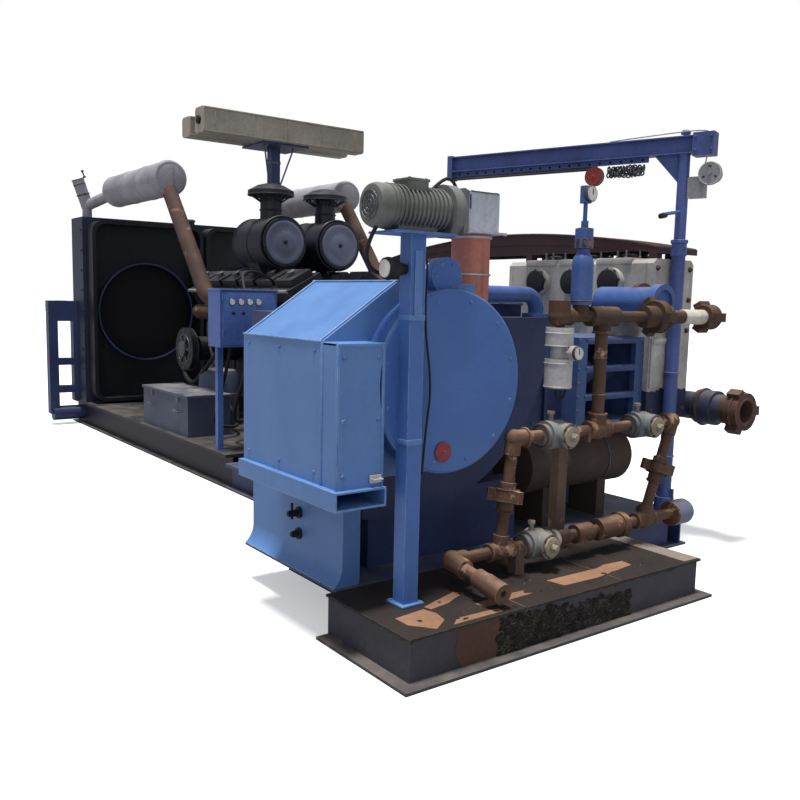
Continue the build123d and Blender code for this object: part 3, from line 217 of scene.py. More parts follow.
finishes = {
    "navy_paint": wornFinish("navyPaint", paint="#2a3760", fade="#35446f", rustAmount=0.18, dustAmount=0.4,
                             chip="#5d5a5c", roughness=0.42),
    "deck_rust": wornFinish("deckRust", paint="#241d1b", fade="#33291f", rust="#6b4a35", rustAmount=0.2,
                            rustScale=1.6, dust="#4a3a2f", dustAmount=0.4, chip="#8a6a50", roughness=0.78,
                            bump=0.55, grimeAmount=0.6),
    # The guard's top colour is a painted sunlit highlight on its roof and upper faces.
    "guard_blue": wornFinish("guardBlue", paint="#4d74aa", fade="#5a80b4", rustAmount=0.08, rust="#8c7a6c",
                             streak="#4b6b9b", streakAmount=0.25, dust="#6b9ddf", dustAmount=0.35,
                             grime="#456796", grimeAmount=0.3, chip="#c3cbd6", chipAmount=0.5, roughness=0.4,
                             bump=0.1),
    # The drum's top colour is a painted lavender highlight on its upper rim.
    "drum_blue": wornFinish("drumBlue", paint="#3f64a6", fade="#4a6eac", rustAmount=0.07, rust="#59607a",
                            streak="#3c5a94", streakAmount=0.35, dust="#7d95c4", grime="#3a5788",
                            grimeAmount=0.4, chip="#a9aed0", chipAmount=0.7, roughness=0.38, bump=0.1),
    # The top colour is a painted tan highlight on the pipe tops, with some dust.
    "pipe_rust": wornFinish("pipeRust", paint="#523d31", fade="#6b4f3e", rust="#947058", rustAmount=0.45,
                            rustScale=7.0, streak="#46322a", dust="#c39d80", dustAmount=0.7, chip="#c2a284",
                            grime="#3a2a25", grimeAmount=0.45, roughness=0.8, bump=0.6),
    # The top colour is a painted highlight on the tops of the upper run.
    "top_pipe_rust": wornFinish("topPipeRust", paint="#3f2f29", fade="#56402f", rust="#7a5238", rustAmount=0.35,
                                rustScale=7.0, dust="#a67d64", chip="#8f745e", grime="#2a1e1b",
                                grimeAmount=0.5, roughness=0.8, bump=0.6),
    "valve_grey": wornFinish("valveGrey", paint="#5d6a78", fade="#86857f", rust="#7c6350", rustAmount=0.28,
                             rustScale=8.0, streak="#5c4a3d", dust="#b5a996", chip="#d2ccc0", grime="#4b443f",
                             grimeAmount=0.5, roughness=0.62, metallic=0.15, bump=0.45),
    "bottle_blue": wornFinish("bottleBlue", paint="#3a5b9a", fade="#4668a8", rust="#6d4d3a", rustAmount=0.2,
                              rustScale=6.0, streak="#553c30", streakAmount=0.5, chip="#8d7868",
                              roughness=0.42),
    "cream_paint": wornFinish("creamPaint", paint="#aeacaa", fade="#c2c0ba", rust="#7a5236", rustAmount=0.2,
                              rustScale=5.0, streak="#7a5a44", streakAmount=0.65, dust="#a89b86",
                              chip="#6f5a4a", grime="#4a4038", grimeAmount=0.45, roughness=0.55),
    "canopy_maroon": wornFinish("canopyMaroon", paint="#2b1c22", fade="#43282e", rust="#6b4638", rustAmount=0.2,
                                dust="#6d5450", dustAmount=0.45, chip="#7d6660", roughness=0.55),
    "duct_red": wornFinish("ductRed", paint="#b56c5c", fade="#c57d6a", rust="#6c4032", rustAmount=0.2,
                           rustScale=5.0, streak="#6e3b30", streakAmount=0.5, chip="#8f8a88",
                           grime="#5a3430", roughness=0.6),
    "blower_grey": wornFinish("blowerGrey", paint="#5c5f5a", fade="#7d807e", rust="#6d5a4a", rustAmount=0.22,
                              rustScale=8.0, dust="#a39e9c", dustAmount=0.5, chip="#a6a4a8",
                              grime="#2e3231", grimeAmount=0.5, roughness=0.55),
    "jib_blue": wornFinish("jibBlue", paint="#42548c", fade="#5062a0", rust="#6a4b3d", rustAmount=0.14,
                           rustScale=6.0, dust="#6c7ba8", chip="#7e7f92", roughness=0.45),
    "winch_grey": wornFinish("winchGrey", paint="#8c8d90", fade="#a2a3a3", rust="#7a6757", rustAmount=0.18,
                             rustScale=9.0, chip="#c9c8c4", roughness=0.45, metallic=0.35),
    "hook_red": wornFinish("hookRed", paint="#8f3128", fade="#aa4234", rust="#5b3429", rustAmount=0.2,
                           rustScale=12.0, chip="#8b7d76", roughness=0.5),
    "engine_black": wornFinish("engineBlack", paint="#0f1219", fade="#191d28", rust="#3d322e", rustAmount=0.18,
                               dust="#59554f", dustAmount=0.4, chip="#4f5058", grime="#07080b",
                               grimeAmount=0.4, roughness=0.42, bump=0.35),
    "cleaner_black": wornFinish("cleanerBlack", paint="#171b25", fade="#232938", rust="#453a35",
                                rustAmount=0.1, dust="#6b675f", dustAmount=0.45, chip="#5f6068",
                                roughness=0.38),
    "box_blue": wornFinish("boxBlue", paint="#4a67ac", fade="#5472b4", rustAmount=0.08, dust="#7886a8",
                           chip="#8b90a3", roughness=0.4, bump=0.12),
    "battery_grey": wornFinish("batteryGrey", paint="#394156", fade="#4b5368", rustAmount=0.14, dust="#9a9488",
                               dustAmount=0.55, chip="#8d8a88", roughness=0.5),
    "muffler_grey": wornFinish("mufflerGrey", paint="#8a8890", fade="#a5a3ab", rust="#8a6c4c", rustAmount=0.2,
                               rustScale=3.4, streak="#5c4a42", streakAmount=0.5, dust="#b9b6bd",
                               dustAmount=0.4, chip="#8b7a6c", roughness=0.6),
    "exhaust_brown": wornFinish("exhaustBrown", paint="#3d2c26", fade="#5a4238", rust="#835e48",
                                rustAmount=0.38, rustScale=6.0, dust="#7f6656", chip="#8f7361",
                                roughness=0.8, bump=0.55),
    "light_beige": wornFinish("lightBeige", paint="#948d80", fade="#a59e91", rust="#75614c", rustAmount=0.12,
                              streak="#6a5f50", streakAmount=0.35, dust="#cfcabc", dustAmount=0.5,
                              chip="#d9d4c6", roughness=0.5),
    "steel_dark": wornFinish("steelDark", paint="#4b4f55", fade="#666a70", rust="#5b4a3e", rustAmount=0.2,
                             rustScale=9.0, chip="#97999c", roughness=0.4, metallic=0.6),
}
nodeFinishes = {
    "front_platform": splitFinish("platformBeamAndShadedDeck", "Z", 0.192,
                                  {"paint": "#33343d", "fade": "#43424a", "rust": "#5b4034", "rustAmount": 0.3,
                                   "rustScale": 2.4, "streakAmount": 0.4, "chip": "#77726f", "roughness": 0.6},
                                  # The upper look is the deck plate's dark rust, made darker still by painted shade.
                                  {"paint": "#1f1a17", "fade": "#2b231f", "rust": "#4a342a", "rustAmount": 0.12,
                                   "rustScale": 1.6, "dust": "#3b2f28", "roughness": 0.75}),
    "fluid_end": splitFinish("fluidEndPaint", "Z", 1.03,
                             {"paint": "#1e2640", "fade": "#2c3554", "rustAmount": 0.2},
                             {"paint": "#aeacaa", "fade": "#c2c0ba", "rust": "#7a5236", "rustAmount": 0.2,
                              "rustScale": 5.0, "streak": "#7a5a44", "streakAmount": 0.65, "dust": "#a89b86",
                              "chip": "#6f5a4a", "grime": "#4a4038", "grimeAmount": 0.45, "roughness": 0.55}),
    "suction_manifold": splitFinish("suctionPaint", "Y", -2.8,
                                    {"paint": "#4c342b", "fade": "#5e4335", "rust": "#7d5a45", "rustAmount": 0.3,
                                     "chip": "#93745f", "roughness": 0.8, "bump": 0.5},
                                    {"paint": "#343a4c", "fade": "#4a5068", "rustAmount": 0.15}),
    "blower": splitFinish("blowerPaint", "X", -1.16,
                          {"paint": "#5c5f5a", "fade": "#7d807e", "rust": "#6d5a4a", "rustAmount": 0.22,
                           "rustScale": 8.0, "dust": "#a39e9c", "grime": "#2e3231", "grimeAmount": 0.5},
                          {"paint": "#b3b8c8", "fade": "#c2c5cf", "rustAmount": 0.08, "grimeAmount": 0.2}),
    "pump_cradle": wornFinish("cradleBlue", paint="#3c5688", fade="#496396", rustAmount=0.15),
    "filter_pair": wornFinish("filterPale", paint="#b2b0b2", fade="#c6c4c4", rustAmount=0.08, streakAmount=0.15,
                              roughness=0.4),
    "radiator": wornFinish("radiatorNavy", paint="#1d2338", fade="#262d46", rustAmount=0.12, dustAmount=0.25),
    "engine_skid": wornFinish("skidBlack", paint="#1e2027", fade="#2a2c36", rust="#4a3a32", rustAmount=0.2,
                              dustAmount=0.3),
    "lower_receiver": wornFinish("receiverBrown", paint="#453833", fade="#52433b", rust="#6b4f40",
                                 rustAmount=0.25, dust="#6f5d50", roughness=0.7),
    "manifold_supports": wornFinish("bracketTan", paint="#5d4c41", fade="#6e594b", rust="#83664f",
                                    rustAmount=0.3, roughness=0.7),
}
khakiCap = wornFinish("khakiCap", paint="#857a64", fade="#a0957c", rust="#6e5440", rustAmount=0.2,
                      rustScale=9.0, dust="#b8ab8f", chip="#c9bfa8", roughness=0.6, bump=0.4)
capGrey = wornFinish("capGrey", paint="#636a81", fade="#747a90", rustAmount=0.06, grimeAmount=0.35,
                     streakAmount=0.15, roughness=0.45)
stripPale = wornFinish("stripPale", paint="#857970", fade="#958a82", rust="#6f5d52", rustAmount=0.3, dustAmount=0.0,
                       streakAmount=0.0, chip="#a59b93", roughness=0.95, bump=0.6)
beamBrown = wornFinish("beamBrown", paint="#54392d", fade="#614335", rust="#3f2c25", rustAmount=0.25,
                       dustAmount=0.0, roughness=0.85, bump=0.5)
# A tan for the painted sunlit patches on the deck.
sunPatchTan = wornFinish("sunPatchTan", paint="#8f6a51", fade="#a07a5f", rust="#7c5840", rustAmount=0.2, dustAmount=0.0,
                     chip="#ab8468", streakAmount=0.0, roughness=0.95, bump=0.7)
rubberHose = wornFinish("rubberHose", paint="#0e0f12", fade="#1a1b1f", rustAmount=0.02, streakAmount=0.0,
                        dust="#4d4842", dustAmount=0.5, chip="#2c2c2f", roughness=0.62, bump=0.3)
# Flat black used as painted shade in the fan bays and the boom holes.
paintedShadeBlack = wornFinish("paintedShadeBlack", paint="#060608", fade="#0c0c10", rustAmount=0.0, streakAmount=0.0,
                      dustAmount=0.05, chipAmount=0.0, roughness=0.9)
paleMetal = wornFinish("paleMetal", paint="#b9b8b4", fade="#d0cfcb", rust="#8b7a69", rustAmount=0.12,
                       rustScale=10.0, chip="#e5e3de", roughness=0.35, metallic=0.45)
tagRed = wornFinish("tagRed", paint="#7c2a33", fade="#97404a", rustAmount=0.12, chip="#b08f8c", roughness=0.5)
dialFace = wornFinish("dialFace", paint="#d8d6cd", fade="#ece9df", rustAmount=0.02, streakAmount=0.1,
                      chip="#9c978c", grimeAmount=0.1, roughness=0.25, bump=0.02)
blackDirt = wornFinish("blackDirt", paint="#16120f", fade="#241d19", rust="#3a2d25", rustAmount=0.3,
                       rustScale=14.0, dust="#3d3129", roughness=0.95, bump=0.9, grain=70.0)
paleStripe = wornFinish("paleStripe", paint="#c4bfb2", fade="#dcd8cc", rust="#8a735d", rustAmount=0.3,
                        rustScale=16.0, roughness=0.6)

for entry in frame["record"]["subparts"]:
    carried = nodes[entry["node"]]
    carried.data.materials.clear()
    carried.data.materials.append(nodeFinishes.get(entry["node"]) or finishes[entry["material_slot"]])
    for face in carried.data.polygons:
        face.material_index = 0


# ---- shapes -----------------------------------------------------------------------
def axisTurn(direction):
    return Vector(direction).normalized().to_track_quat("Z", "Y").to_matrix().to_4x4()


class Shape:
    def __init__(self):
        self.mesh = bmesh.new()

    def profile(self, centre, direction, rings, sides=32, closeEnds=True, turn=0.0):
        place = Matrix.Translation(Vector(centre)) @ axisTurn(direction)
        loops = []
        for radius, height in rings:
            loops.append([self.mesh.verts.new(place @ Vector((radius * cos(turn + 2 * pi * i / sides),
                                                              radius * sin(turn + 2 * pi * i / sides), height)))
                          for i in range(sides)])
        for low, high in zip(loops, loops[1:]):
            for i in range(sides):
                self.mesh.faces.new((low[i], low[(i + 1) % sides], high[(i + 1) % sides], high[i]))
        if closeEnds:
            self.mesh.faces.new(loops[0][::-1])
            self.mesh.faces.new(loops[-1])
        return self

    def tube(self, start, end, radius, sides=24, edge=0.0):
        length = (Vector(end) - Vector(start)).length
        edge = min(edge or radius * 0.08, length / 3)
        return self.profile(start, Vector(end) - Vector(start),
                            [(radius - edge, 0), (radius, edge), (radius, length - edge), (radius - edge, length)],
                            sides)

    def bolt(self, centre, direction, size=0.014, height=None):
        tall = height or size * 0.65
        self.profile(centre, direction, [(size * 1.25, -0.001), (size * 1.25, tall * 0.25)], 16)
        return self.profile(centre, direction, [(size, tall * 0.2), (size, tall * 0.85), (size * 0.82, tall)], 6)

    def ring(self, centre, direction, radius, thickness, sides=48, section=10):
        place = Matrix.Translation(Vector(centre)) @ axisTurn(direction)
        loops = []
        for i in range(sides):
            turn = 2 * pi * i / sides
            loops.append([self.mesh.verts.new(place @ Vector((
                (radius + thickness * cos(2 * pi * j / section)) * cos(turn),
                (radius + thickness * cos(2 * pi * j / section)) * sin(turn),
                thickness * sin(2 * pi * j / section)))) for j in range(section)])
        for i in range(sides):
            here, after = loops[i], loops[(i + 1) % sides]
            for j in range(section):
                k = (j + 1) % section
                self.mesh.faces.new((here[j], after[j], after[k], here[k]))
        return self

    def box(self, low, high, bevel=0.004, turn=None):
        low, high = Vector(low), Vector(high)
        made = bmesh.ops.create_cube(self.mesh, size=1.0)
        place = Matrix.Translation((low + high) / 2) @ (turn or Matrix.Identity(4))
        size = high - low
        bmesh.ops.transform(self.mesh, matrix=place @ Matrix.Diagonal((size.x, size.y, size.z, 1.0)),
                            verts=made["verts"])
        if bevel:
            edges = list({e for v in made["verts"] for e in v.link_edges})
            bmesh.ops.bevel(self.mesh, geom=edges, offset=min(bevel, min(size) * 0.3), segments=2,
                            profile=0.6, affect="EDGES")
        return self

    def plate(self, points, thickness):    # closed sheet from its corners and the way it is thick
        near = [self.mesh.verts.new(Vector(point)) for point in points]
        far = [self.mesh.verts.new(Vector(point) + thickness) for point in points]
        self.mesh.faces.new(near)
        self.mesh.faces.new(far[::-1])
        for i in range(len(near)):
            k = (i + 1) % len(near)
            self.mesh.faces.new((near[i], far[i], far[k], near[k]))
        return self

    def place(self, name, material, body=unitBody, slot=None, smooth=True):
        mesh = bpy.data.meshes.new(name)
        bmesh.ops.recalc_face_normals(self.mesh, faces=self.mesh.faces)
        self.mesh.to_mesh(mesh)
        self.mesh.free()
        mesh.materials.append(material)
        piece = bpy.data.objects.new(name, mesh)
        bpy.context.collection.objects.link(piece)
        if smooth:
            for face in mesh.polygons:
                face.use_smooth = True
            mesh.set_sharp_from_angle(angle=radians(38))
        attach(piece, body)
        return piece


def hose(name, points, radius, material, body=unitBody):
    data = bpy.data.curves.new(name, "CURVE")
    data.dimensions = "3D"
    line = data.splines.new("NURBS")
    line.points.add(len(points) - 1)
    for knot, point in zip(line.points, points):
        knot.co = (*point, 1.0)
    line.order_u = 3
    line.use_endpoint_u = True
    data.bevel_depth = radius
    data.bevel_resolution = 4
    data.use_fill_caps = True
    data.materials.append(material)
    piece = bpy.data.objects.new(name, data)
    bpy.context.collection.objects.link(piece)
    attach(piece, body)
    return piece


def circlePoints(centre, direction, radius, count, start=0.0):
    place = Matrix.Translation(Vector(centre)) @ axisTurn(direction)
    return [place @ Vector((radius * cos(start + 2 * pi * i / count), radius * sin(start + 2 * pi * i / count), 0))
            for i in range(count)]


front = Vector((0, -1, 0))
left = Vector((-1, 0, 0))
right = Vector((1, 0, 0))
up = Vector((0, 0, 1))


# ---- front platform: dirt on the beam, painted sunlit patches, worn strip, deck edges ---
def dressPlatform():
    low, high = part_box("front_platform")
    settings = {"web": -3.375, "beamLumps": 420, "deckLumps": 60, "lumpSize": 0.013, "dirtLow": -1.36, "dirtHigh": -0.45,
                "sheet": 0.0025}
    top, web = high.z, settings["web"]
    chance = Random(5)
    dirt = Shape()
    for i in range(settings["beamLumps"] + settings["deckLumps"]):
        onBeam = i < settings["beamLumps"]
        reach = settings["dirtHigh"] - settings["dirtLow"]
        if onBeam:
            along = chance.random() ** 1.25
            spot = (settings["dirtLow"] + along * reach, web, 0.02 + chance.random() ** 1.4 * (0.17 - 0.05 * along))
        else:
            spot = (low.x + 0.2 + chance.random() * 1.7, web + 0.02 + chance.random() * 0.3, top)
        size = settings["lumpSize"] * (0.35 + chance.random() * (1.25 if onBeam else 0.6))
        made = bmesh.ops.create_icosphere(dirt.mesh, subdivisions=2, radius=size)
        for vert in made["verts"]:
            vert.co *= 0.7 + 0.6 * chance.random()
        squeeze = Matrix.Diagonal((1.5, 0.55, 1.0, 1.0)) if onBeam else Matrix.Diagonal((1.6, 1.3, 0.35, 1.0))
        bmesh.ops.transform(dirt.mesh, matrix=Matrix.Translation(spot) @ squeeze, verts=made["verts"])
    dirt.place("platform_dirt_lumps", blackDirt, slot="deck_rust")

    # Tan patches on the deck top are painted sunlight falling between the shadows of the parts above.
    worn = Shape()
    sunPatchOutlines = (((-1.79, -3.17), (-1.62, -3.15), (-1.6, -3.22), (-1.62, -3.3), (-1.71, -3.36), (-1.79, -3.26)),
               ((-1.6, -3.13), (-1.36, -3.05), (-1.33, -3.09), (-1.41, -3.12), (-1.47, -3.15), (-1.59, -3.17)),
               ((-1.38, -3.23), (-1.21, -3.21), (-1.06, -3.22), (-1.09, -3.25), (-1.05, -3.27), (-1.36, -3.28)),
               ((-0.86, -3.18), (-0.5, -3.19), (-0.42, -3.17), (-0.28, -3.18), (-0.29, -3.25), (-0.61, -3.29),
                (-0.84, -3.28)))
    shown = top + settings["sheet"]
    sunk = -up * 0.004
    for outline in sunPatchOutlines:
        worn.plate([(x, y, shown) for x, y in outline], sunk)
    worn.plate([(-1.62, web + 0.012, shown), (-1.33, web + 0.012, shown), (-1.33, web + 0.05, shown),
                (-1.56, web + 0.06, shown)], sunk)
    worn.place("deck_sunlit_patches", sunPatchTan, slot="deck_rust", smooth=False)
    strip = Shape()
    strip.plate([(high.x - 0.175, -3.37, shown), (high.x - 0.055, -3.375, shown), (high.x - 0.055, -2.78, shown),
                 (high.x - 0.165, -2.78, shown)], sunk)
    strip.place("deck_pale_strip", stripPale, slot="deck_rust", smooth=False)
    patch = Shape()
    patch.plate([(x, web - 0.002, z) for x, z in ((-1.58, 0.016), (-1.34, 0.016), (-1.33, 0.1), (-1.36, 0.194),
                                                  (-1.6, 0.194), (-1.62, 0.09))], -front * 0.005)
    patch.place("beam_brown_patch", beamBrown, slot="deck_rust", smooth=False)
    seams = Shape()
    for x in (low.x + 0.72, low.x + 1.4):
        seams.box((x - 0.004, low.y + 0.06, top), (x + 0.004, high.y - 0.01, top + 0.002), 0.001)
    seams.place("platform_weld_seams", finishes["exhaust_brown"], slot="deck_rust")


dressPlatform()


# ---- guard: cover seams, bolts, latch, drain cock, tag ----------------------------
def dressGuard():
    low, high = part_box("guard_box")
    drumLow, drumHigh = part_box("guard_drum")
    drum = Vector((-1.36, drumLow.y, 1.21))
    settings = {"boltSize": 0.009, "coverEdge": 0.012, "rimThickness": 0.011, "rimRadius": 0.421}
    trim = Shape()
    cover = low.y
    trim.box((low.x - 0.006, cover + 0.002, 0.772), (low.x + 0.006, cover + 0.02, 1.398), 0.004)
    trim.box((low.x + 0.222, cover - 0.004, 0.772), (low.x + 0.236, cover + 0.02, 1.398), 0.003)
    trim.box((low.x, cover - 0.006, 1.386), (low.x + 0.236, cover + 0.14, 1.402), 0.004)
    trim.box((low.x - 0.004, cover + 0.13, 0.772), (low.x + 0.006, cover + 0.148, 1.398), 0.003)
    trim.ring((drum.x, drum.y + 0.014, drum.z), front, settings["rimRadius"], settings["rimThickness"], 96, 8)
    trim.place("guard_trim", finishes["guard_blue"], slot="guard_blue")

    bolts = Shape()
    for z in (0.83, 1.07, 1.34):
        for x in (low.x + 0.025, low.x + 0.205):
            bolts.bolt((x, cover, z), front, settings["boltSize"])
    for y in (-2.82, -2.5, -2.19):
        for z in (0.82, 1.36):
            bolts.bolt((low.x, y, z), left, settings["boltSize"])
    for point in circlePoints(drum, front, 0.385, 12, 0.26):
        bolts.bolt(point, front, 0.008)
    for point in circlePoints((drum.x, -2.94, 1.7), front, 0.064, 6):
        bolts.bolt(point, front, 0.007)
    bolts.place("guard_bolts", finishes["drum_blue"], slot="drum_blue")

    ribs = Shape()
    slope = Vector((high.x - low.x, 0, 0))
    for y in (-2.86, -2.15):
        ribs.tube((low.x, y, 1.403), (-1.6, y, 1.673), 0.006, 10)
    ribs.tube((low.x, -2.88, 1.402), (low.x, -2.13, 1.402), 0.006, 10)
    ribs.tube((-1.6, -2.88, 1.672), (-1.6, -2.13, 1.672), 0.006, 10)
    ribs.place("guard_roof_welds", finishes["guard_blue"], slot="guard_blue")

    latch = Shape()
    latch.box((-1.84, cover - 0.012, 0.79), (-1.78, cover - 0.003, 0.825), 0.002)
    latch.tube((-1.835, cover - 0.03, 0.808), (-1.785, cover - 0.03, 0.808), 0.005, 12)
    for x in (-1.832, -1.788):
        latch.tube((x, cover - 0.03, 0.808), (x, cover - 0.008, 0.808), 0.005, 12)
    latch.place("guard_cover_latch", paleMetal, slot="valve_grey")

    cock = Shape()
    foot = Vector((-1.77, -2.3, 0.49))
    for rise, reach in ((0.0, 0.055), (-0.11, 0.035)):
        base = foot + up * rise
        cock.profile(base, left, [(0.03, 0), (0.03, 0.012), (0.018, 0.014), (0.018, reach)], 20)
        cock.bolt(base + left * reach, left, 0.014, 0.016)
    cock.tube(foot + left * 0.045 - up * 0.03, foot + left * 0.045 + up * 0.055, 0.007, 12)
    cock.place("stand_drain_cocks", rubberHose, slot="engine_black")

    tag = Shape()
    tag.profile((-1.41, drum.y, 0.885), front, [(0.045, 0), (0.048, 0.003), (0.048, 0.009), (0.043, 0.012)], 32)
    tag.bolt((-1.41, drum.y - 0.011, 0.885), front, 0.008)
    tag.place("drum_round_tag", tagRed, slot="hook_red")


dressGuard()


# ---- post, gauge lamp and the thin cable down the drum ----------------------------
def dressPost():
    low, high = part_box("guard_post")
    x, y = -1.64, -3.04
    fittings = Shape()
    fittings.box((x - 0.062, y - 0.062, 0.211), (x + 0.062, y + 0.062, 0.222), 0.003)
    for dx in (-0.05, 0.05):
        for dy in (-0.05, 0.05):
            fittings.bolt((x + dx, y + dy, 0.222), up, 0.008)
    for z in (0.95, 1.5):
        fittings.box((x - 0.043, y - 0.043, z), (x + 0.043, y + 0.043, z + 0.025), 0.003)
    fittings.box((x - 0.02, y - 0.046, 1.52), (x + 0.02, y - 0.041, 1.8), 0.002)
    fittings.place("post_fittings", finishes["guard_blue"], slot="guard_blue")
    cable = [(-1.56, -2.99, 1.88), (-1.53, -3.015, 1.78), (-1.555, -3.02, 1.5), (-1.5, -3.02, 1.2),
             (-1.53, -3.02, 1.0), (-1.545, -3.02, 0.8)]
    hose("drum_sensor_cable", cable, 0.005, rubberHose)
    lamp = Shape()
    lampBase = Vector((x - 0.075, y, 1.72))
    lamp.profile(lampBase, left, [(0.022, -0.035), (0.03, 0), (0.045, 0.02), (0.05, 0.06), (0.046, 0.075)], 28)
    lamp.tube((x - 0.04, y, 1.72), lampBase, 0.018, 16)
    lamp.place("post_work_lamp", rubberHose, slot="engine_black")
    lens = Shape()
    lens.profile(lampBase + left * 0.071, left, [(0.04, 0), (0.038, 0.008), (0.02, 0.013)], 28)
    lens.place("post_lamp_lens", dialFace, slot="light_beige")


dressPost()


# ---- blower: fan guard, terminal box, hose loop -----------------------------------
def dressBlower():
    axis = Vector((-1.79, -3.0, 1.985))
    cowl = Shape()
    cowl.profile(axis, left, [(0.094, -0.06), (0.096, 0.03), (0.088, 0.05), (0.07, 0.056)], 36)
    cowl.place("blower_fan_cowl", finishes["blower_grey"], slot="blower_grey")
    wires = Shape()
    for radius in (0.02, 0.04, 0.06):
        wires.ring(axis + left * 0.058, left, radius, 0.0028, 32, 6)
    for turn in range(4):
        offset = Vector((0, cos(turn * pi / 4), sin(turn * pi / 4))) * 0.066
        wires.tube(axis + left * 0.058 - offset, axis + left * 0.058 + offset, 0.0026, 6)
    wires.place("blower_fan_wires", finishes["steel_dark"], slot="steel_dark")
    terminal = Shape()
    terminal.box((-1.69, -3.065, 2.055), (-1.58, -2.955, 2.105), 0.006)
    terminal.box((-1.694, -3.069, 2.095), (-1.576, -2.951, 2.108), 0.003)
    for x in (-1.68, -1.59):
        for y in (-3.055, -2.965):
            terminal.bolt((x, y, 2.108), up, 0.006)
    terminal.place("blower_terminal_box", finishes["blower_grey"], slot="blower_grey")
    flange = Shape()
    for point in circlePoints((-1.404, -3.0, 1.985), right, 0.105, 8, 0.2):
        flange.bolt(point, left, 0.008)
    for x in (-1.15, -0.91):
        for y in (-2.84, -2.72, -2.6):
            flange.bolt((x, y, 1.92), -up, 0.008)
    flange.ring((-1.03, -2.72, 1.905), up, 0.1, 0.008)
    flange.ring((-1.03, -2.72, 1.72), up, 0.1, 0.006)
    flange.place("blower_flange_bolts", paleMetal, slot="valve_grey")
    box = Shape()
    box.box((-1.134, -2.83, 2.035), (-1.128, -2.61, 2.105), 0.002)
    box.box((-1.12, -2.824, 2.118), (-0.94, -2.616, 2.124), 0.002)
    for x in (-1.11, -0.95):
        for y in (-2.81, -2.63):
            box.bolt((x, y, 2.123), up, 0.006)
    box.place("blower_box_lids", finishes["battery_grey"], slot="battery_grey")
    loop = [(-1.63, -3.01, 2.06), (-1.72, -3.05, 2.02), (-1.83, -3.02, 1.9), (-1.86, -2.98, 1.76),
            (-1.78, -2.97, 1.69), (-1.68, -3.0, 1.72), (-1.62, -3.0, 1.84), (-1.6, -2.98, 1.875)]
    hose("blower_cable_loop", loop, 0.009, rubberHose)
    feed = [(-1.5, -2.97, 2.07), (-1.4, -2.95, 2.15), (-1.3, -2.9, 2.14), (-1.2, -2.82, 2.08), (-1.14, -2.8, 2.06)]
    hose("blower_feed_cable", feed, 0.008, rubberHose)


dressBlower()


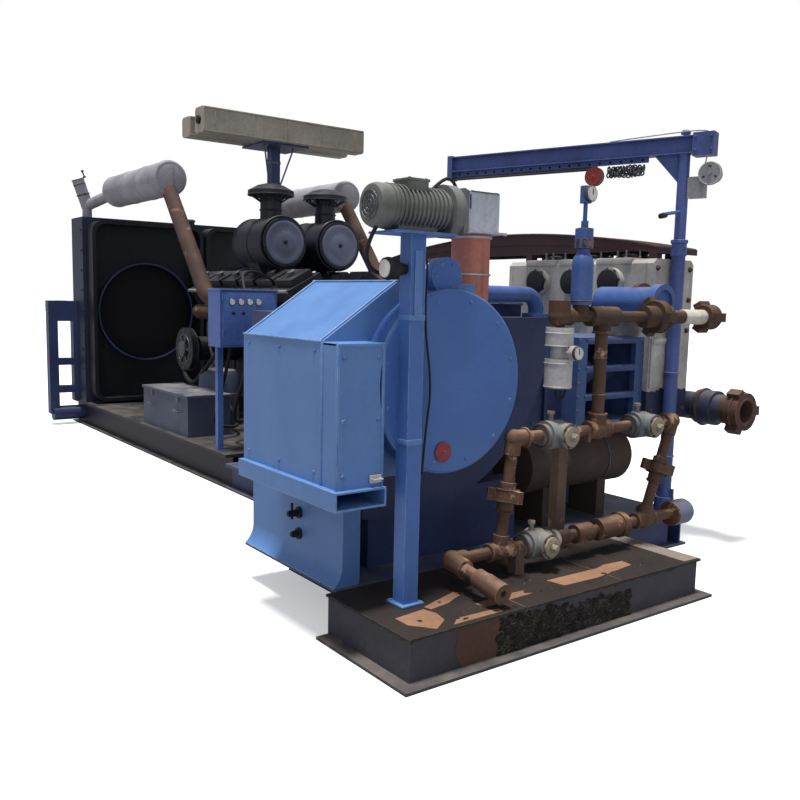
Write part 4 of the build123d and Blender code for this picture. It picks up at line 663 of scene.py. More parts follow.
# ---- pump: power end ribs and covers, cradle, fluid end studs ---------------------
def dressPump():
    low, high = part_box("power_end")
    frontFace = low.y
    ribs = Shape()
    for x in (-0.16, -0.42, -0.68):
        ribs.box((x - 0.012, frontFace + 0.1, 0.84), (x + 0.012, frontFace + 0.122, 1.48), 0.004)
    for x in (-1.26, -0.3):
        ribs.box((x - 0.014, -2.36, 1.57), (x + 0.014, -1.44, 1.584), 0.004)
    ribs.box((-1.27, -2.37, 1.566), (-0.29, -1.43, 1.576), 0.003)
    ribs.place("power_end_ribs", finishes["navy_paint"], slot="navy_paint")
    studs = Shape()
    for x in [-1.2 + 0.15 * i for i in range(7)]:
        for y in (-2.345, -1.455):
            studs.bolt((x, y, 1.576), up, 0.011)
    for point in circlePoints((-0.5, -1.28, 1.18), -front, 0.25, 12):
        studs.bolt(point, -front, 0.013)
    for x in [-0.09 - 0.16 * i for i in range(5)]:
        studs.bolt((x, frontFace + 0.12, 1.46), front, 0.01)
        studs.bolt((x, frontFace + 0.12, 0.86), front, 0.01)
    studs.place("power_end_studs", finishes["steel_dark"], slot="steel_dark")
    breather = Shape()
    breather.profile((-0.6, -1.9, 1.574), up, [(0.035, 0), (0.035, 0.06), (0.07, 0.065), (0.07, 0.12),
                                               (0.05, 0.14)], 28)
    breather.place("power_end_breather", finishes["valve_grey"], slot="valve_grey")

    cradleLow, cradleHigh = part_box("pump_cradle")
    frame = Shape()
    for z in (0.846, 1.02, 1.194, 1.364):
        frame.box((0.07, cradleLow.y - 0.01, z - 0.012), (0.55, cradleLow.y + 0.002, z + 0.008), 0.003)
    for x in (0.012, 0.6):
        for z in [0.85 + 0.085 * i for i in range(7)]:
            frame.bolt((x, cradleLow.y, z), front, 0.009)
    frame.place("cradle_window_ribs", nodeFinishes["pump_cradle"], slot="navy_paint")
    packing = Shape()
    for y in (-2.28, -1.95, -1.62):
        packing.profile((0.38, y, 1.14), right, [(0.09, 0), (0.105, 0.01), (0.105, 0.09), (0.092, 0.1)], 32)
        for point in circlePoints((0.375, y, 1.14), right, 0.075, 6):
            packing.bolt(point, left, 0.009)
    packing.place("plunger_clamps", finishes["steel_dark"], slot="steel_dark")

    fluidLow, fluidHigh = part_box("fluid_end")
    covers = Shape()
    coverBolts = Shape()
    for y in (-2.28, -1.95, -1.62):
        for face, way, z in ((0.575, left, 1.73), (1.085, right, 1.14)):
            covers.profile((face, y, z), way, [(0.078, 0), (0.082, 0.004), (0.082, 0.022), (0.06, 0.03)], 32)
            for point in circlePoints((face, y, z), way, 0.084, 8, 0.2):
                coverBolts.bolt(point, way, 0.009)
        covers.profile((0.83, y, fluidHigh.z), up, [(0.09, 0), (0.094, 0.005), (0.094, 0.035), (0.075, 0.045)], 32)
        for point in circlePoints((0.83, y, fluidHigh.z), up, 0.115, 8, 0.2):
            coverBolts.profile(point, up, [(0.009, 0), (0.009, 0.06), (0.006, 0.064)], 10)
            coverBolts.bolt(point, up, 0.014, 0.022)
    covers.place("fluid_end_covers", finishes["engine_black"], slot="engine_black")
    coverBolts.place("fluid_end_studs", finishes["steel_dark"], slot="steel_dark")
    pots = Shape()
    for y in (-2.28, -1.95, -1.62):
        pots.box((0.612, y - 0.13, 1.45), (0.622, y + 0.13, 1.6), 0.005)
        pots.box((0.608, y - 0.145, 1.845), (0.74, y + 0.145, 1.888), 0.008)
        for z in (1.475, 1.575):
            for dy in (-0.105, 0.105):
                pots.bolt((0.612, y + dy, z), left, 0.011)
    pots.box((0.63, fluidLow.y - 0.012, 1.05), (0.8, fluidLow.y + 0.004, 1.37), 0.006)
    pots.box((0.64, fluidLow.y - 0.02, 1.33), (0.79, fluidLow.y, 1.36), 0.004)
    pots.place("fluid_end_pads", finishes["cream_paint"], slot="cream_paint")
    front8 = Shape()
    for z in (0.9, 1.42, 1.62, 1.82):
        for x in (0.66, 1.0):
            front8.bolt((x, fluidLow.y, z), front, 0.014, 0.016)
    front8.profile((0.5, -2.61, 1.6), front, [(0.0961, -0.02), (0.12, -0.016), (0.12, 0.02), (0.1, 0.024)], 36)
    front8.place("fluid_end_front_nuts", finishes["exhaust_brown"], slot="exhaust_brown")


dressPump()


# ---- suction hub, receiver ends ---------------------------------------------------
def dressSuction():
    hub = Shape()
    for distance, radius in ((2.945, 0.086), (2.9, 0.1285)):
        hub.ring((1.21, -distance, 0.9), front, radius, 0.008, 56, 8)
    for point in circlePoints((1.21, -2.70, 0.9), front, 0.105, 8, 0.2):
        hub.bolt(point, front, 0.012)
    hub.ring((1.21, -2.64, 0.9), front, 0.118, 0.012)
    hub.place("suction_hub_rings", finishes["exhaust_brown"], slot="exhaust_brown")
    bands = Shape()
    for x in (-0.1, 0.4):
        bands.ring((x, -2.33, 0.59), right, 0.1815, 0.006, 56, 8)
    bands.tube((0.2, -2.33, 0.765), (0.2, -2.33, 0.81), 0.024, 20)
    bands.bolt((0.2, -2.33, 0.81), up, 0.02)
    bands.place("receiver_bands", finishes["steel_dark"], slot="steel_dark")


dressSuction()


# ---- canopy: pressed ribs and rolled lips -----------------------------------------
def dressCanopy():
    low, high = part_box("canopy_roof")
    middle, half, rise = (low.y + high.y) / 2, (high.y - low.y) / 2, 0.14
    height = 1.96

    def roofAt(y):
        return height + rise * (1 - ((y - middle) / half) ** 2)

    lips = Shape()
    count = 26
    points = [low.y + 0.01 + (2 * half - 0.02) * i / count for i in range(count + 1)]
    for x in (low.x + 0.006, high.x - 0.006, low.x + 0.13, low.x + 0.27):
        for a, b in zip(points, points[1:]):
            lips.tube((x, a, roofAt(a) - 0.004), (x, b, roofAt(b) - 0.004), 0.009, 8)
    lips.place("canopy_lips", finishes["canopy_maroon"], slot="canopy_maroon")
    sides = Shape()
    for x in (low.x + 0.002, high.x - 0.01):
        arch = [(x, y, roofAt(y) - 0.006) for y in points]
        sides.plate(arch + [(x, points[-1], height - 0.022), (x, points[0], height - 0.022)], right * 0.008)
    sides.place("canopy_side_sheets", finishes["canopy_maroon"], slot="canopy_maroon", smooth=False)


dressCanopy()


# ---- manifold: valve bonnets, plugs, union threads, gauges ------------------------
def dressManifold():
    y = -3.0
    bonnets, studs, stems = Shape(), Shape(), Shape()
    for x, z in ((-0.77, 0.345), (-0.66, 0.91), (0.04, 0.91)):
        face = Vector((x + 0.02, y - 0.098, z))
        bonnets.profile(face, front, [(0.05, 0), (0.052, 0.004), (0.052, 0.014), (0.034, 0.018)], 32)
        for point in circlePoints(face, front, 0.055, 6, 0.3):
            studs.bolt(point, front, 0.008)
        for dx in (-0.1, 0.1):
            studs.ring((x + dx, y, z), right, 0.0575, 0.006, 40, 8)
        stems.bolt((x + 0.02, y - 0.118, z), front, 0.017, 0.024)
        stems.tube((x - 0.03, y, z + 0.108), (x - 0.03, y, z + 0.125), 0.02, 16)
    bonnets.place("plug_valve_bonnets", khakiCap, slot="valve_grey")
    studs.place("plug_valve_studs", finishes["exhaust_brown"], slot="exhaust_brown")
    stems.place("plug_valve_stems", khakiCap, slot="valve_grey")

    collars = Shape()
    for x in (-1.02, 0.12):
        for dx in (-0.075, 0.075):
            collars.ring((x + dx, y, 0.345), right, 0.0425, 0.006, 36, 8)
    for x, z, ways in ((-0.95, 0.91, (1,)), (-0.325, 0.91, (-1, 1)), (0.34, 0.91, (-1,)), (-0.325, 1.52, (-1, 1))):
        for way in ways:
            collars.ring((x + way * 0.076, y, z), right, 0.047, 0.006, 36, 8)
    for z in (0.995, 1.435):
        collars.ring((-0.325, y, z), up, 0.047, 0.0065, 36, 8)
    for z in (1.1, 1.3):
        collars.ring((-0.325, y, z), up, 0.0345, 0.004, 30, 8)
    collars.place("manifold_weld_collars", finishes["pipe_rust"], slot="pipe_rust")

    chords = Shape()
    for low, high, height in (((-1.02, 0.345), (-0.95, 0.91), 0.255), ((0.12, 0.345), (0.34, 0.91), 0.285)):
        run = Vector((high[0] - low[0], 0, high[1] - low[1])).normalized()
        start = Vector((low[0], y, low[1]))
        for gap in (0.0, 0.058):
            chords.ring(start + run * (height + gap), run, 0.0605, 0.005, 40, 8)
        chords.ring(start + run * (height - 0.05), run, 0.0425, 0.005, 36, 8)
    chords.place("union_edge_beads", finishes["exhaust_brown"], slot="exhaust_brown")

    stripe = Shape()
    endCap = Shape()
    endCap.profile((0.375, y, 0.345), right, [(0.068, 0), (0.0755, 0.008), (0.0755, 0.13), (0.066, 0.15), (0.03, 0.153)],
                   40)
    endCap.place("lower_run_end_sleeve", capGrey, slot="valve_grey")
    stripe.profile((-0.64, y, 0.345), right, [(0.046, 0), (0.049, 0.004), (0.049, 0.022), (0.046, 0.026)], 40)
    stripe.profile((0.375, y, 1.52), right, [(0.041, 0), (0.044, 0.006), (0.044, 0.2), (0.041, 0.206)], 40)
    stripe.place("pipe_pale_bands", paleStripe, slot="valve_grey")

    dials, faces, needles = Shape(), Shape(), Shape()
    for centre, radius in (((-0.5, y - 0.03, 2.145), 0.042), ((-0.66, y - 0.131, 1.3375), 0.036)):
        dials.profile(centre, front, [(radius * 0.94, -0.012), (radius, -0.008), (radius, 0.01),
                                      (radius * 0.9, 0.014)], 36)
        faces.profile(Vector(centre) + front * 0.0135, front, [(radius * 0.86, 0), (radius * 0.85, 0.002)], 36)
        needles.box(Vector(centre) + Vector((-0.002, -0.0185, -0.006)), Vector(centre) + Vector((0.002, -0.0165, 0.024)),
                    0.0005)
        for point in circlePoints(Vector(centre) + front * 0.016, front, radius * 0.72, 12):
            needles.tube(point, point + front * 0.0012, 0.0016, 6)
    dials.place("gauge_cases", finishes["steel_dark"], slot="steel_dark")
    faces.place("gauge_faces", dialFace, slot="valve_grey")
    needles.place("gauge_needles", rubberHose, slot="engine_black")

    cap = Shape()
    cap.profile((-0.5, y, 1.868), up, [(0.04, 0), (0.05, 0.006), (0.05, 0.05), (0.042, 0.058)], 8)
    cap.profile((-0.5, y, 1.94), up, [(0.047, 0), (0.047, 0.03), (0.04, 0.034)], 6)
    cap.ring((-0.5, y, 1.6), up, 0.0565, 0.004)
    cap.place("bottle_cap_hexes", finishes["exhaust_brown"], slot="exhaust_brown")
    nut = Shape()
    for x in (0.585, 0.668):
        nut.ring((x, y, 1.52), right, 0.069, 0.007, 40, 8)
    nut.profile((0.674, y, 1.52), right, [(0.03, 0), (0.032, 0.003), (0.024, 0.008)], 28)
    for x in (0.115, 0.165):
        nut.ring((x, y, 1.52), right, 0.088, 0.006, 40, 8)
    nut.place("top_union_beads", finishes["top_pipe_rust"], slot="top_pipe_rust")
    filterBands = Shape()
    for z in (1.435, 1.37, 1.28, 1.16):
        filterBands.ring((-0.65, y, z), up, 0.0715, 0.004, 44, 8)
    filterBands.place("filter_bands", paleMetal, slot="valve_grey")
    whip = [(-0.5, y + 0.045, 1.9), (-0.46, y + 0.07, 1.96), (-0.4, y + 0.09, 1.9), (-0.38, y + 0.08, 1.75),
            (-0.36, y + 0.055, 1.6), (-0.345, y + 0.04, 1.53)]
    hose("gauge_whip", whip, 0.006, rubberHose)
    drop = [(-0.59, y + 0.01, 1.43), (-0.56, y + 0.03, 1.36), (-0.55, y + 0.03, 1.2), (-0.57, y + 0.02, 1.1),
            (-0.63, y + 0.02, 1.07), (-0.65, y + 0.01, 1.13)]
    hose("filter_drop_line", drop, 0.006, rubberHose)


dressManifold()


# ---- jib: row of holes, chain bunch, cables, winch --------------------------------
def dressJib():
    swing = radians(107.5)
    along = Vector((cos(swing), sin(swing), 0))
    across = Vector((-sin(swing), cos(swing), 0))
    foot = Vector((0.8, -2.65, 0))
    settings = {"boomZ": 2.59, "boomLength": 1.72, "holes": 20, "links": 44}

    def at(x, y, z):
        return foot + along * x + across * y + up * z

    holes = Shape()
    for i in range(settings["holes"]):
        x = 0.27 + i * (settings["boomLength"] - 0.32) / (settings["holes"] - 1)
        for side in (-1, 1):
            # Each hole is a black disc of painted shade, not an opening.
            holes.profile(at(x, side * 0.004, 2.518), across * side, [(0.0085, -0.001), (0.0085, 0.0012)], 14)
    holes.place("boom_strip_hole_shade", paintedShadeBlack, "jib", "jib_blue")
    plates = Shape()
    for x in (-0.175, -0.075):
        for z in (2.55, 2.63):
            for side in (-1, 1):
                plates.bolt(at(x, side * 0.048, z), across * side, 0.009)
    plates.profile(at(0, 0, 1.978), up, [(0.05, 0), (0.054, 0.004), (0.054, 0.02), (0.05, 0.024)], 32)
    plates.profile(at(0, 0, 2.657), up, [(0.03, 0), (0.03, 0.02), (0.022, 0.026)], 6)
    plates.place("boom_head_bolts", finishes["jib_blue"], "jib", "jib_blue")
    chain = Shape()
    chance = Random(9)
    for i in range(settings["links"]):
        x = 0.5 - 0.24 * i / settings["links"]
        drop = 0.026 + 0.04 * sin(i * 1.9) ** 2
        centre = at(x, 0.018 * sin(i * 2.3), 2.5 - drop)
        turn = along * cos(i * 1.1) + across * sin(i * 1.1) + up * 0.3 * chance.random()
        chain.ring(centre, turn, 0.017, 0.0055, 20, 8)
    chain.place("jib_chain_bunch", finishes["steel_dark"], "jib", "steel_dark")
    disc = Shape()
    for side in (-1, 1):
        disc.profile(at(0.6, side * 0.0165, 2.435), across * side, [(0.0605, 0), (0.0628, 0.003), (0.056, 0.009)], 36)
        disc.bolt(at(0.6, side * 0.025, 2.435), across * side, 0.01)
    disc.place("hook_disc_cheeks", finishes["hook_red"], "jib", "hook_red")
    hookLine = [at(0.6, 0, 2.375), at(0.6, 0, 2.35), at(0.615, 0, 2.33), at(0.6, 0, 2.312), at(0.582, 0, 2.325)]
    hose("jib_hook", hookLine, 0.007, finishes["steel_dark"], "jib")
    hose("jib_lift_cable", [at(-0.14, 0.03, 2.46), at(-0.16, 0.03, 2.56), at(-0.19, 0.03, 2.63), at(-0.15, 0.03, 2.672),
                            at(0.1, 0.02, 2.67), at(0.5, 0.0, 2.655)], 0.0045, paleMetal, "jib")
    winch = Shape()
    for z in (2.29, 2.37):
        winch.bolt(at(-0.1, -0.044, z), -across, 0.01)
    winch.ring(at(-0.18, -0.042, 2.4), across, 0.04, 0.004)
    winch.bolt(at(-0.18, -0.041, 2.4), -across, 0.012)
    winch.place("winch_side_bolts", paleMetal, "jib", "winch_grey")
    crank = Shape()
    hub = at(-0.18, 0.062, 2.4)
    crank.ring(at(-0.18, 0.038, 2.4), across, 0.066, 0.005, 48, 8)
    crank.ring(at(-0.18, 0.058, 2.4), across, 0.066, 0.005, 48, 8)
    crank.place("winch_rim_beads", paleMetal, "winch_wheel", "winch_grey")
    grip = Shape()
    grip.profile(at(0.03, 0.2, 2.141), across - up * 0.15, [(0.014, 0), (0.017, 0.01), (0.017, 0.09), (0.012, 0.1)], 20)
    grip.place("jib_handle_grip", rubberHose, "jib", "engine_black")
    mast = Shape()
    for z in (0.6, 1.15):
        mast.ring((0.8, -2.65, z), up, 0.0445, 0.005, 36, 8)
    for x in (0.74, 0.86):
        for y in (-2.71, -2.51):
            mast.bolt((x, y, 0.236), up, 0.012)
    mast.place("jib_mast_beads", finishes["jib_blue"], slot="jib_blue")


dressJib()


# ---- engine: rocker bolts, side covers, pipes, pulleys, hoses ---------------------
def dressEngine():
    tilt = radians(28)
    centre = Vector((0.43, 0, 0.98))
    heads = [0.76 + 2.3 / 6 * (i + 0.5) for i in range(6)]
    caps, capBolts, rails, pushes = Shape(), Shape(), Shape(), Shape()
    for side in (-1, 1):
        axis = Vector((side * sin(tilt), 0, cos(tilt)))
        outward = Vector((side * cos(tilt), 0, -sin(tilt)))
        for y in heads:
            top = centre + axis * 0.91 + Vector((0, y, 0))
            caps.profile(top, axis, [(0.034, 0), (0.034, 0.02), (0.045, 0.024), (0.045, 0.036), (0.034, 0.042)], 20)
            for dy in (-0.13, 0.13):
                for dx in (-0.09, 0.09):
                    capBolts.bolt(top + outward * dx + Vector((0, dy, 0)), axis, 0.009)
            for dy in (-0.16, 0.16):
                face = centre + axis * 0.8 + outward * 0.182 + Vector((0, y + dy * 0.8, 0))
                capBolts.bolt(face, outward, 0.01)
            low = centre + axis * 0.5 + outward * 0.166 + Vector((0, y, 0))
            pushes.profile(low, outward, [(0.06, -0.002), (0.064, 0.003), (0.064, 0.012), (0.05, 0.016)], 32)
            for point in circlePoints(low, outward, 0.055, 6):
                pushes.bolt(point + outward * 0.01, outward, 0.006)
        start = centre + axis * 0.835 + outward * 0.2
        rails.tube(start + Vector((0, 0.8, 0)), start + Vector((0, 3.02, 0)), 0.017, 16)
        for y in heads:
            rails.tube(start + Vector((0, y, 0)), start + axis * -0.03 - outward * 0.05 + Vector((0, y, 0)), 0.011, 10)
    caps.place("rocker_filler_caps", finishes["steel_dark"], slot="steel_dark")
    capBolts.place("rocker_cover_bolts", finishes["steel_dark"], slot="steel_dark")
    rails.place("engine_fuel_rails", finishes["winch_grey"], slot="winch_grey")
    pushes.place("engine_hand_covers", finishes["engine_black"], slot="engine_black")

    doors, doorBolts = Shape(), Shape()
    for y in heads:
        for side in (-1, 1):
            face = 0.43 + side * 0.33
            low, high = sorted((face, face + side * 0.012))
            doors.box((low, y - 0.13, 0.78), (high, y + 0.13, 1.02), 0.004)
            for dy in (-0.11, 0.11):
                for z in (0.8, 1.0):
                    doorBolts.bolt((face + side * 0.012, y + dy, z), left * -side, 0.009)
    doors.place("crankcase_doors", finishes["engine_black"], slot="engine_black")
    doorBolts.place("crankcase_door_bolts", finishes["steel_dark"], slot="steel_dark")

    flange = Shape()
    for point in circlePoints((0.43, 0.61, 0.98), front, 0.365, 20):
        flange.bolt(point, front, 0.012)
    flange.place("flywheel_housing_bolts", finishes["steel_dark"], slot="steel_dark")
    pulley = Shape()
    pulley.profile((0.43, 3.06, 1.0), (0, 1, 0), [(0.2, 0), (0.2, 0.03), (0.17, 0.04), (0.17, 0.06), (0.2, 0.07),
                                                 (0.2, 0.1), (0.09, 0.11)], 40)
    pulley.profile((0.43, 3.06, 1.5), (0, 1, 0), [(0.13, 0), (0.13, 0.03), (0.1, 0.04), (0.1, 0.06), (0.13, 0.07),
                                                 (0.13, 0.1), (0.05, 0.11)], 36)
    pulley.place("engine_pulleys", finishes["engine_black"], slot="engine_black")

    side = Shape()
    side.ring((-0.435, 2.3, 1.02), left, 0.212, 0.009, 64, 8)
    side.ring((-0.502, 2.3, 1.02), left, 0.15, 0.008, 56, 8)
    side.profile((-0.5, 2.3, 1.02), left, [(0.08, 0), (0.084, 0.006), (0.084, 0.03), (0.06, 0.045)], 36)
    for point in circlePoints((-0.5, 2.3, 1.02), left, 0.19, 12):
        side.bolt(point, left, 0.01)
    for i in range(6):
        turn = 2 * pi * i / 6
        spoke = Vector((0, cos(turn), sin(turn)))
        side.tube(Vector((-0.505, 2.3, 1.02)) + spoke * 0.08, Vector((-0.505, 2.3, 1.02)) + spoke * 0.15, 0.012, 10)
    side.place("side_drive_rings", finishes["steel_dark"], slot="steel_dark")

    low = Shape()
    low.profile((-0.3, 1.9, 0.282), up, [(0.2, 0), (0.2, 0.5), (0.17, 0.55), (0.05, 0.57)], 40)
    low.ring((-0.3, 1.9, 0.6), up, 0.2, 0.008, 56, 8)
    low.place("side_lube_tank", finishes["battery_grey"], slot="battery_grey")
    stack = Shape()
    for y, radius in ((1.0, 0.055), (1.15, 0.055), (2.75, 0.055)):
        stack.profile((0.02, y, 0.62), up, [(radius * 0.9, 0), (radius, 0.01), (radius, 0.24), (radius * 0.8, 0.26)], 28)
        stack.profile((0.02, y, 0.88), up, [(radius * 0.6, -0.005), (radius * 0.6, 0.03)], 8)
    stack.place("engine_oil_filters", finishes["winch_grey"], slot="winch_grey")

    runs = (
        ("front", [(-0.62, 0.56, 1.15), (-0.63, 0.6, 0.95), (-0.7, 0.72, 0.6), (-0.6, 0.9, 0.42), (-0.2, 1.0, 0.55),
                   (0.0, 1.05, 0.75)], 0.017),
        ("middle", [(-0.55, 0.56, 1.15), (-0.54, 0.62, 0.9), (-0.5, 0.8, 0.5), (-0.35, 1.0, 0.4), (-0.1, 1.25, 0.6),
                    (0.06, 1.3, 0.8)], 0.02),
        ("rear", [(-0.8, 0.56, 1.15), (-0.82, 0.62, 0.9), (-0.84, 0.85, 0.5), (-0.7, 1.05, 0.4), (-0.42, 1.15, 0.36),
                  (-0.35, 1.5, 0.45), (-0.3, 1.72, 0.6)], 0.015),
        ("upper", [(-0.5, 2.3, 0.8), (-0.52, 2.1, 0.62), (-0.45, 1.8, 0.9), (-0.3, 1.5, 1.3), (-0.12, 1.4, 1.45),
                   (0.02, 1.35, 1.42)], 0.022),
        ("cross", [(-0.7, 0.5, 1.63), (-0.68, 0.6, 1.72), (-0.5, 0.9, 1.8), (-0.25, 1.1, 1.8), (-0.08, 1.15, 1.72)], 0.012),
        ("return", [(-0.28, 2.0, 0.84), (-0.3, 2.1, 1.0), (-0.2, 2.4, 1.25), (-0.02, 2.7, 1.35), (0.02, 2.9, 1.3)], 0.018),
    )
    for name, points, radius in runs:
        hose("engine_hose_" + name, points, radius, rubberHose)


dressEngine()


# ---- air cleaners: dished caps, clamps, rain cap vanes ----------------------------
def dressCleaners():
    rims, caps, vanes = Shape(), Shape(), Shape()
    for x in (0.118, 0.742):
        face = Vector((x, 1.3, 2.1))
        rims.ring(face + Vector((0, 0.038, 0)), front, 0.246, 0.012, 72, 10)
        rims.ring(face + Vector((0, 0.32, 0)), front, 0.2515, 0.006, 72, 8)
        rims.ring(face + Vector((0, 0.62, 0)), front, 0.2505, 0.007, 72, 8)
        caps.profile(face, front, [(0.205, 0), (0.205, 0.006), (0.18, 0.012), (0.165, 0.006), (0.12, 0.006),
                                   (0.1, 0.012), (0.04, 0.014)], 56)
        for point in circlePoints(face, front, 0.22, 8, 0.2):
            rims.bolt(point, front, 0.009)
        rims.bolt(face + front * 0.012, front, 0.018, 0.02)
        neck = Vector((x, 1.588, 0))
        rims.ring(neck + up * 2.42, up, 0.107, 0.008, 48, 8)
        for i in range(18):
            turn = 2 * pi * i / 18
            spoke = Vector((cos(turn), sin(turn), 0))
            low = neck + up * 2.5 + spoke * 0.105
            vanes.tube(low, neck + up * 2.562 + spoke * 0.2, 0.006, 6)
        vanes.ring(neck + up * 2.563, up, 0.222, 0.008, 64, 8)
    rims.place("cleaner_bands", finishes["cleaner_black"], slot="cleaner_black")
    caps.place("cleaner_end_caps", capGrey, slot="steel_dark")
    vanes.place("rain_cap_vanes", finishes["cleaner_black"], slot="cleaner_black")


dressCleaners()


# ---- exhaust: muffler end discs, clamps, flap weights -----------------------------
def dressExhaust():
    rings, clamps = Shape(), Shape()
    for side, x in ((-1, -0.62), (1, 1.48)):
        for y, way in ((2.3, front), (3.94, -front)):
            rings.profile((x, y, 2.73), way, [(0.128, -0.001), (0.13, 0.004), (0.118, 0.008)], 48)
        for y in (2.33, 2.86, 3.4, 3.91):
            rings.ring((x, y, 2.73), front, 0.1705, 0.0055, 64, 8)
        tail = Vector((x + side * 0.21, 4.38, 2.59))
        stub = Vector((side * 0.345, 0, 1)).normalized()
        clamps.ring(tail + stub * 0.13, stub, 0.0705, 0.007, 44, 8)
        clamps.ring(tail + stub * 0.25, stub, 0.069, 0.005, 44, 8)
        clamps.bolt(tail + stub * 0.13 + Vector((0, -0.075, 0)), front, 0.011)
    rings.place("muffler_end_rings", finishes["muffler_grey"], slot="muffler_grey")
    clamps.place("tail_stub_clamps", finishes["exhaust_brown"], slot="exhaust_brown")
    for side, name, hinge in ((-1, "rain_flap_left", Vector((-0.8534, 4.38, 2.9154))),
                              (1, "rain_flap_right", Vector((1.7134, 4.38, 2.9154)))):
        stub = Vector((side * 0.345, 0, 1)).normalized()
        weight = Shape()
        top = hinge + stub * 0.07
        weight.tube(top - Vector((0, 0.014, 0)), top + Vector((0, 0.014, 0)), 0.013, 16)
        for y in (-0.03, 0.03):
            weight.bolt(hinge + Vector((0, y * 1.13, 0)), Vector((0, 1 if y > 0 else -1, 0)), 0.008)
        weight.place(name + "_weight", finishes["exhaust_brown"], name, "exhaust_brown")


dressExhaust()


# ---- radiator, shrouds and ladder -------------------------------------------------
def dressRadiator():
    guards, shadeDiscs = Shape(), Shape()
    for x in (-0.2465, 1.1365):
        centre = Vector((x, 4.05, 1.355))
        guards.ring(centre + front * 0.004, front, 0.572, 0.012, 96, 8)
        # A black disc in each bay is painted shade for the shaded fan and core behind the opening.
        shadeDiscs.profile(centre + Vector((0, 0.099, 0)), front, [(0.558, 0), (0.555, 0.003)], 72)
    guards.place("fan_bay_rims", finishes["navy_paint"], slot="navy_paint")
    shadeDiscs.place("fan_bay_painted_shade", paintedShadeBlack, slot="navy_paint")
    low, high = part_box("radiator")
    core = Shape()
    for i in range(60):
        x = low.x + 0.13 + i * (high.x - low.x - 0.26) / 59
        core.box((x - 0.006, high.y - 0.034, 0.4), (x + 0.006, high.y - 0.02, 2.25), 0.0)
    core.place("radiator_fins", finishes["engine_black"], slot="engine_black", smooth=False)
    tank = Shape()
    for x in (low.x + 0.055, high.x - 0.055):
        for i in range(9):
            tank.bolt((x, high.y, 0.45 + 0.23 * i), -front, 0.012)
            tank.bolt((low.x, low.y + 0.05, 0.45 + 0.23 * i), left, 0.012)
    tank.profile((0.43, 4.35, 2.485), up, [(0.07, 0), (0.07, 0.02), (0.05, 0.03)], 30)
    tank.place("radiator_bolts", finishes["steel_dark"], slot="steel_dark")
    treads = Shape()
    ladderLow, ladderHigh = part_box("step_ladder")
    for z in (0.46, 0.79, 1.47):
        for k in range(9):
            y = ladderLow.y + 0.012 + 0.012 * k
            treads.tube((ladderLow.x + 0.11, y, z), (ladderHigh.x - 0.11, y, z), 0.0022, 6)
    treads.place("ladder_treads", finishes["steel_dark"], slot="steel_dark")


dressRadiator()


# ---- boxes: control panel, battery box --------------------------------------------
def dressBoxes():
    low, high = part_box("control_box")
    face = low.y
    door, meters, faces, knobs = Shape(), Shape(), Shape(), Shape()
    door.box((low.x + 0.02, face - 0.012, 1.18), (high.x - 0.02, face + 0.002, 1.61), 0.006)
    door.box((low.x - 0.004, face - 0.016, 1.622), (high.x + 0.004, face + 0.236, 1.636), 0.004)
    for z in (1.25, 1.54):
        door.tube((low.x + 0.018, face - 0.016, z), (low.x + 0.018, face - 0.016, z + 0.05), 0.008, 12)
    door.place("control_box_door", finishes["box_blue"], slot="box_blue")
    for x, z, radius in ((-0.87, 1.53, 0.028), (-0.79, 1.53, 0.028), (-0.71, 1.53, 0.028), (-0.63, 1.53, 0.028)):
        meters.profile((x, face - 0.011, z), front, [(radius, 0), (radius, 0.01), (radius * 0.9, 0.013)], 28)
        faces.profile((x, face - 0.0235, z), front, [(radius * 0.84, 0), (radius * 0.82, 0.0015)], 28)
    for i in range(4):
        knobs.profile((-0.86 + 0.09 * i, face - 0.011, 1.44), front, [(0.013, 0), (0.013, 0.014), (0.01, 0.018)], 18)
    knobs.box((high.x - 0.06, face - 0.03, 1.34), (high.x - 0.045, face - 0.011, 1.4), 0.003)
    meters.place("control_box_meters", finishes["steel_dark"], slot="steel_dark")
    faces.place("control_box_dials", dialFace, slot="light_beige")
    knobs.place("control_box_knobs", rubberHose, slot="engine_black")
    batteryLow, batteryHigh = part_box("battery_box")
    case = Shape()
    for y in (batteryLow.y + 0.25, batteryHigh.y - 0.25):
        case.box((batteryLow.x + 0.004, y - 0.03, 0.58), (batteryLow.x + 0.014, y + 0.03, 0.655), 0.003)
        case.tube((batteryLow.x - 0.012, y - 0.06, 0.5), (batteryLow.x - 0.012, y + 0.06, 0.5), 0.007, 12)
        for dy in (-0.06, 0.06):
            case.tube((batteryLow.x - 0.012, y + dy, 0.5), (batteryLow.x + 0.013, y + dy, 0.5), 0.006, 12)
    case.place("battery_box_handles", finishes["steel_dark"], slot="steel_dark")


dressBoxes()


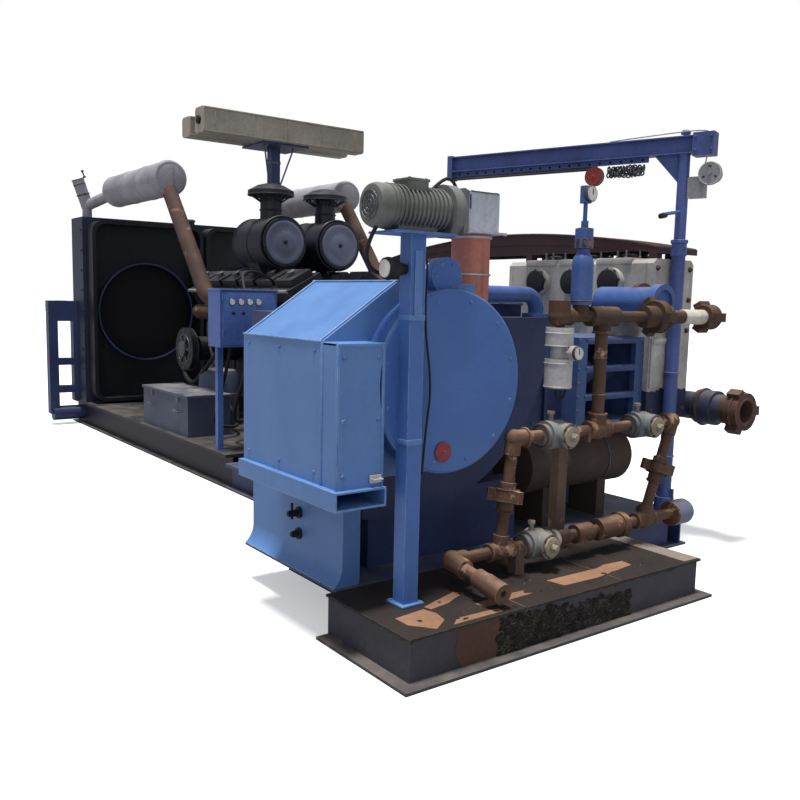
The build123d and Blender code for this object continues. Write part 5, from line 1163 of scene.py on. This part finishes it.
# ---- light bars: lips, end connector, stays ---------------------------------------
def dressLights():
    low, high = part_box("light_bars")
    lips, plug, stays = Shape(), Shape(), Shape()
    for y0, y1, top in ((1.8, 2.0, 3.37), (2.12, 2.32, 3.322)):
        lips.box((low.x + 0.004, y0 - 0.006, top - 0.02), (high.x - 0.004, y0 + 0.01, top - 0.004), 0.003)
        lips.box((low.x + 0.004, y0 - 0.005, 3.136), (high.x - 0.004, y0 + 0.01, 3.15), 0.003)
        for i in range(5):
            x = low.x + 0.12 + i * (high.x - low.x - 0.24) / 4
            lips.box((x - 0.006, y0 - 0.004, 3.15), (x + 0.006, y0 + 0.004, top - 0.02), 0.002)
        for x in (low.x + 0.05, high.x - 0.05):
            for z in (3.18, top - 0.045):
                lips.bolt((x, y0, z), front, 0.008)
    lips.place("light_bar_lips", finishes["light_beige"], slot="light_beige")
    plug.profile((low.x, 1.9, 3.25), left, [(0.04, 0), (0.04, 0.02), (0.028, 0.026)], 28)
    plug.place("light_bar_connector", rubberHose, slot="engine_black")
    for x in (0.26, 0.6):
        stays.tube((x, 2.0, 3.118), (0.43 + (x - 0.43) * 0.35, 2.1, 2.72), 0.009, 12)
    for z in (2.0, 2.5, 2.95):
        stays.box((0.375, 2.065, z), (0.485, 2.175, z + 0.03), 0.003)
    stays.place("light_mast_stays", finishes["steel_dark"], slot="steel_dark")


dressLights()


# ---- floor, light, camera ---------------------------------------------------------
def paleFloor():
    material, tree, output = emptyMaterial("paleFloor")
    bounce = shaderNode(tree, "ShaderNodeBsdfDiffuse", {"Color": (0.32, 0.32, 0.33, 1)})
    shown = shaderNode(tree, "ShaderNodeBsdfDiffuse", {"Color": (0.6, 0.6, 0.61, 1)})
    glow = shaderNode(tree, "ShaderNodeEmission", {"Color": (1, 1, 1, 1), "Strength": 0.42})
    lifted = shaderNode(tree, "ShaderNodeAddShader")
    path = shaderNode(tree, "ShaderNodeLightPath")
    pick = shaderNode(tree, "ShaderNodeMixShader")
    for start, end in ((shown.outputs[0], lifted.inputs[0]), (glow.outputs[0], lifted.inputs[1]),
                       (path.outputs["Is Camera Ray"], pick.inputs[0]), (bounce.outputs[0], pick.inputs[1]),
                       (lifted.outputs[0], pick.inputs[2]), (pick.outputs[0], output.inputs[0])):
        tree.links.new(start, end)
    return material


def buildStage():
    middle = (cadLow + cadHigh) / 2
    floorMesh = bpy.data.meshes.new("studio_floor")
    reach = 60
    floorMesh.from_pydata([(middle.x - reach, middle.y - reach, 0), (middle.x + reach, middle.y - reach, 0),
                           (middle.x + reach, middle.y + reach, 0), (middle.x - reach, middle.y + reach, 0)],
                          [], [(0, 1, 2, 3)])
    floorMesh.materials.append(paleFloor())
    floor = bpy.data.objects.new("studio_floor", floorMesh)
    floor.location.z = cadLow.z - 0.001
    bpy.context.collection.objects.link(floor)

    world = bpy.data.worlds.new("softStudio")
    world.use_nodes = True
    tree = world.node_tree
    tree.nodes.clear()
    output = shaderNode(tree, "ShaderNodeOutputWorld")
    dim = shaderNode(tree, "ShaderNodeBackground", {"Color": (0.88, 0.92, 1.0, 1), "Strength": 0.45})
    pale = shaderNode(tree, "ShaderNodeBackground", {"Color": (1, 1, 1, 1), "Strength": 1.0})
    path = shaderNode(tree, "ShaderNodeLightPath")
    pick = shaderNode(tree, "ShaderNodeMixShader")
    tree.links.new(path.outputs["Is Camera Ray"], pick.inputs[0])
    tree.links.new(dim.outputs[0], pick.inputs[1])
    tree.links.new(pale.outputs[0], pick.inputs[2])
    tree.links.new(pick.outputs[0], output.inputs[0])
    bpy.context.scene.world = world

    for name, towards, energy, angle, tint in (
            ("key_sun", (0.13, 0.03, -0.99), 4.7, 10, (1.0, 0.97, 0.93)),
            ("fill_sun", (0.5, 0.78, -0.38), 0.35, 60, (0.92, 0.95, 1.0))):
        light = bpy.data.lights.new(name, "SUN")
        light.energy = energy
        light.angle = radians(angle)
        light.color = tint
        lamp = bpy.data.objects.new(name, light)
        lamp.rotation_euler = Vector(towards).to_track_quat("-Z", "Y").to_euler()
        bpy.context.collection.objects.link(lamp)


def placeCamera():
    settings = {"place": (-3.9, -6.0, 1.6), "heading": 36.7, "pitch": 6.95, "roll": 1.26, "lens": 38.0}
    data = bpy.data.cameras.new("camera")
    data.lens = settings["lens"]
    data.sensor_width = 36
    camera = bpy.data.objects.new("camera", data)
    turn = (Matrix.Rotation(radians(-settings["heading"]), 4, "Z")
            @ Matrix.Rotation(radians(90 - settings["pitch"]), 4, "X")
            @ Matrix.Rotation(radians(settings["roll"]), 4, "Z"))
    camera.matrix_world = Matrix.Translation(settings["place"]) @ turn
    bpy.context.collection.objects.link(camera)
    bpy.context.scene.camera = camera


buildStage()
placeCamera()
scene = bpy.context.scene
scene.view_settings.view_transform = "Standard"
scene.view_settings.look = "None"
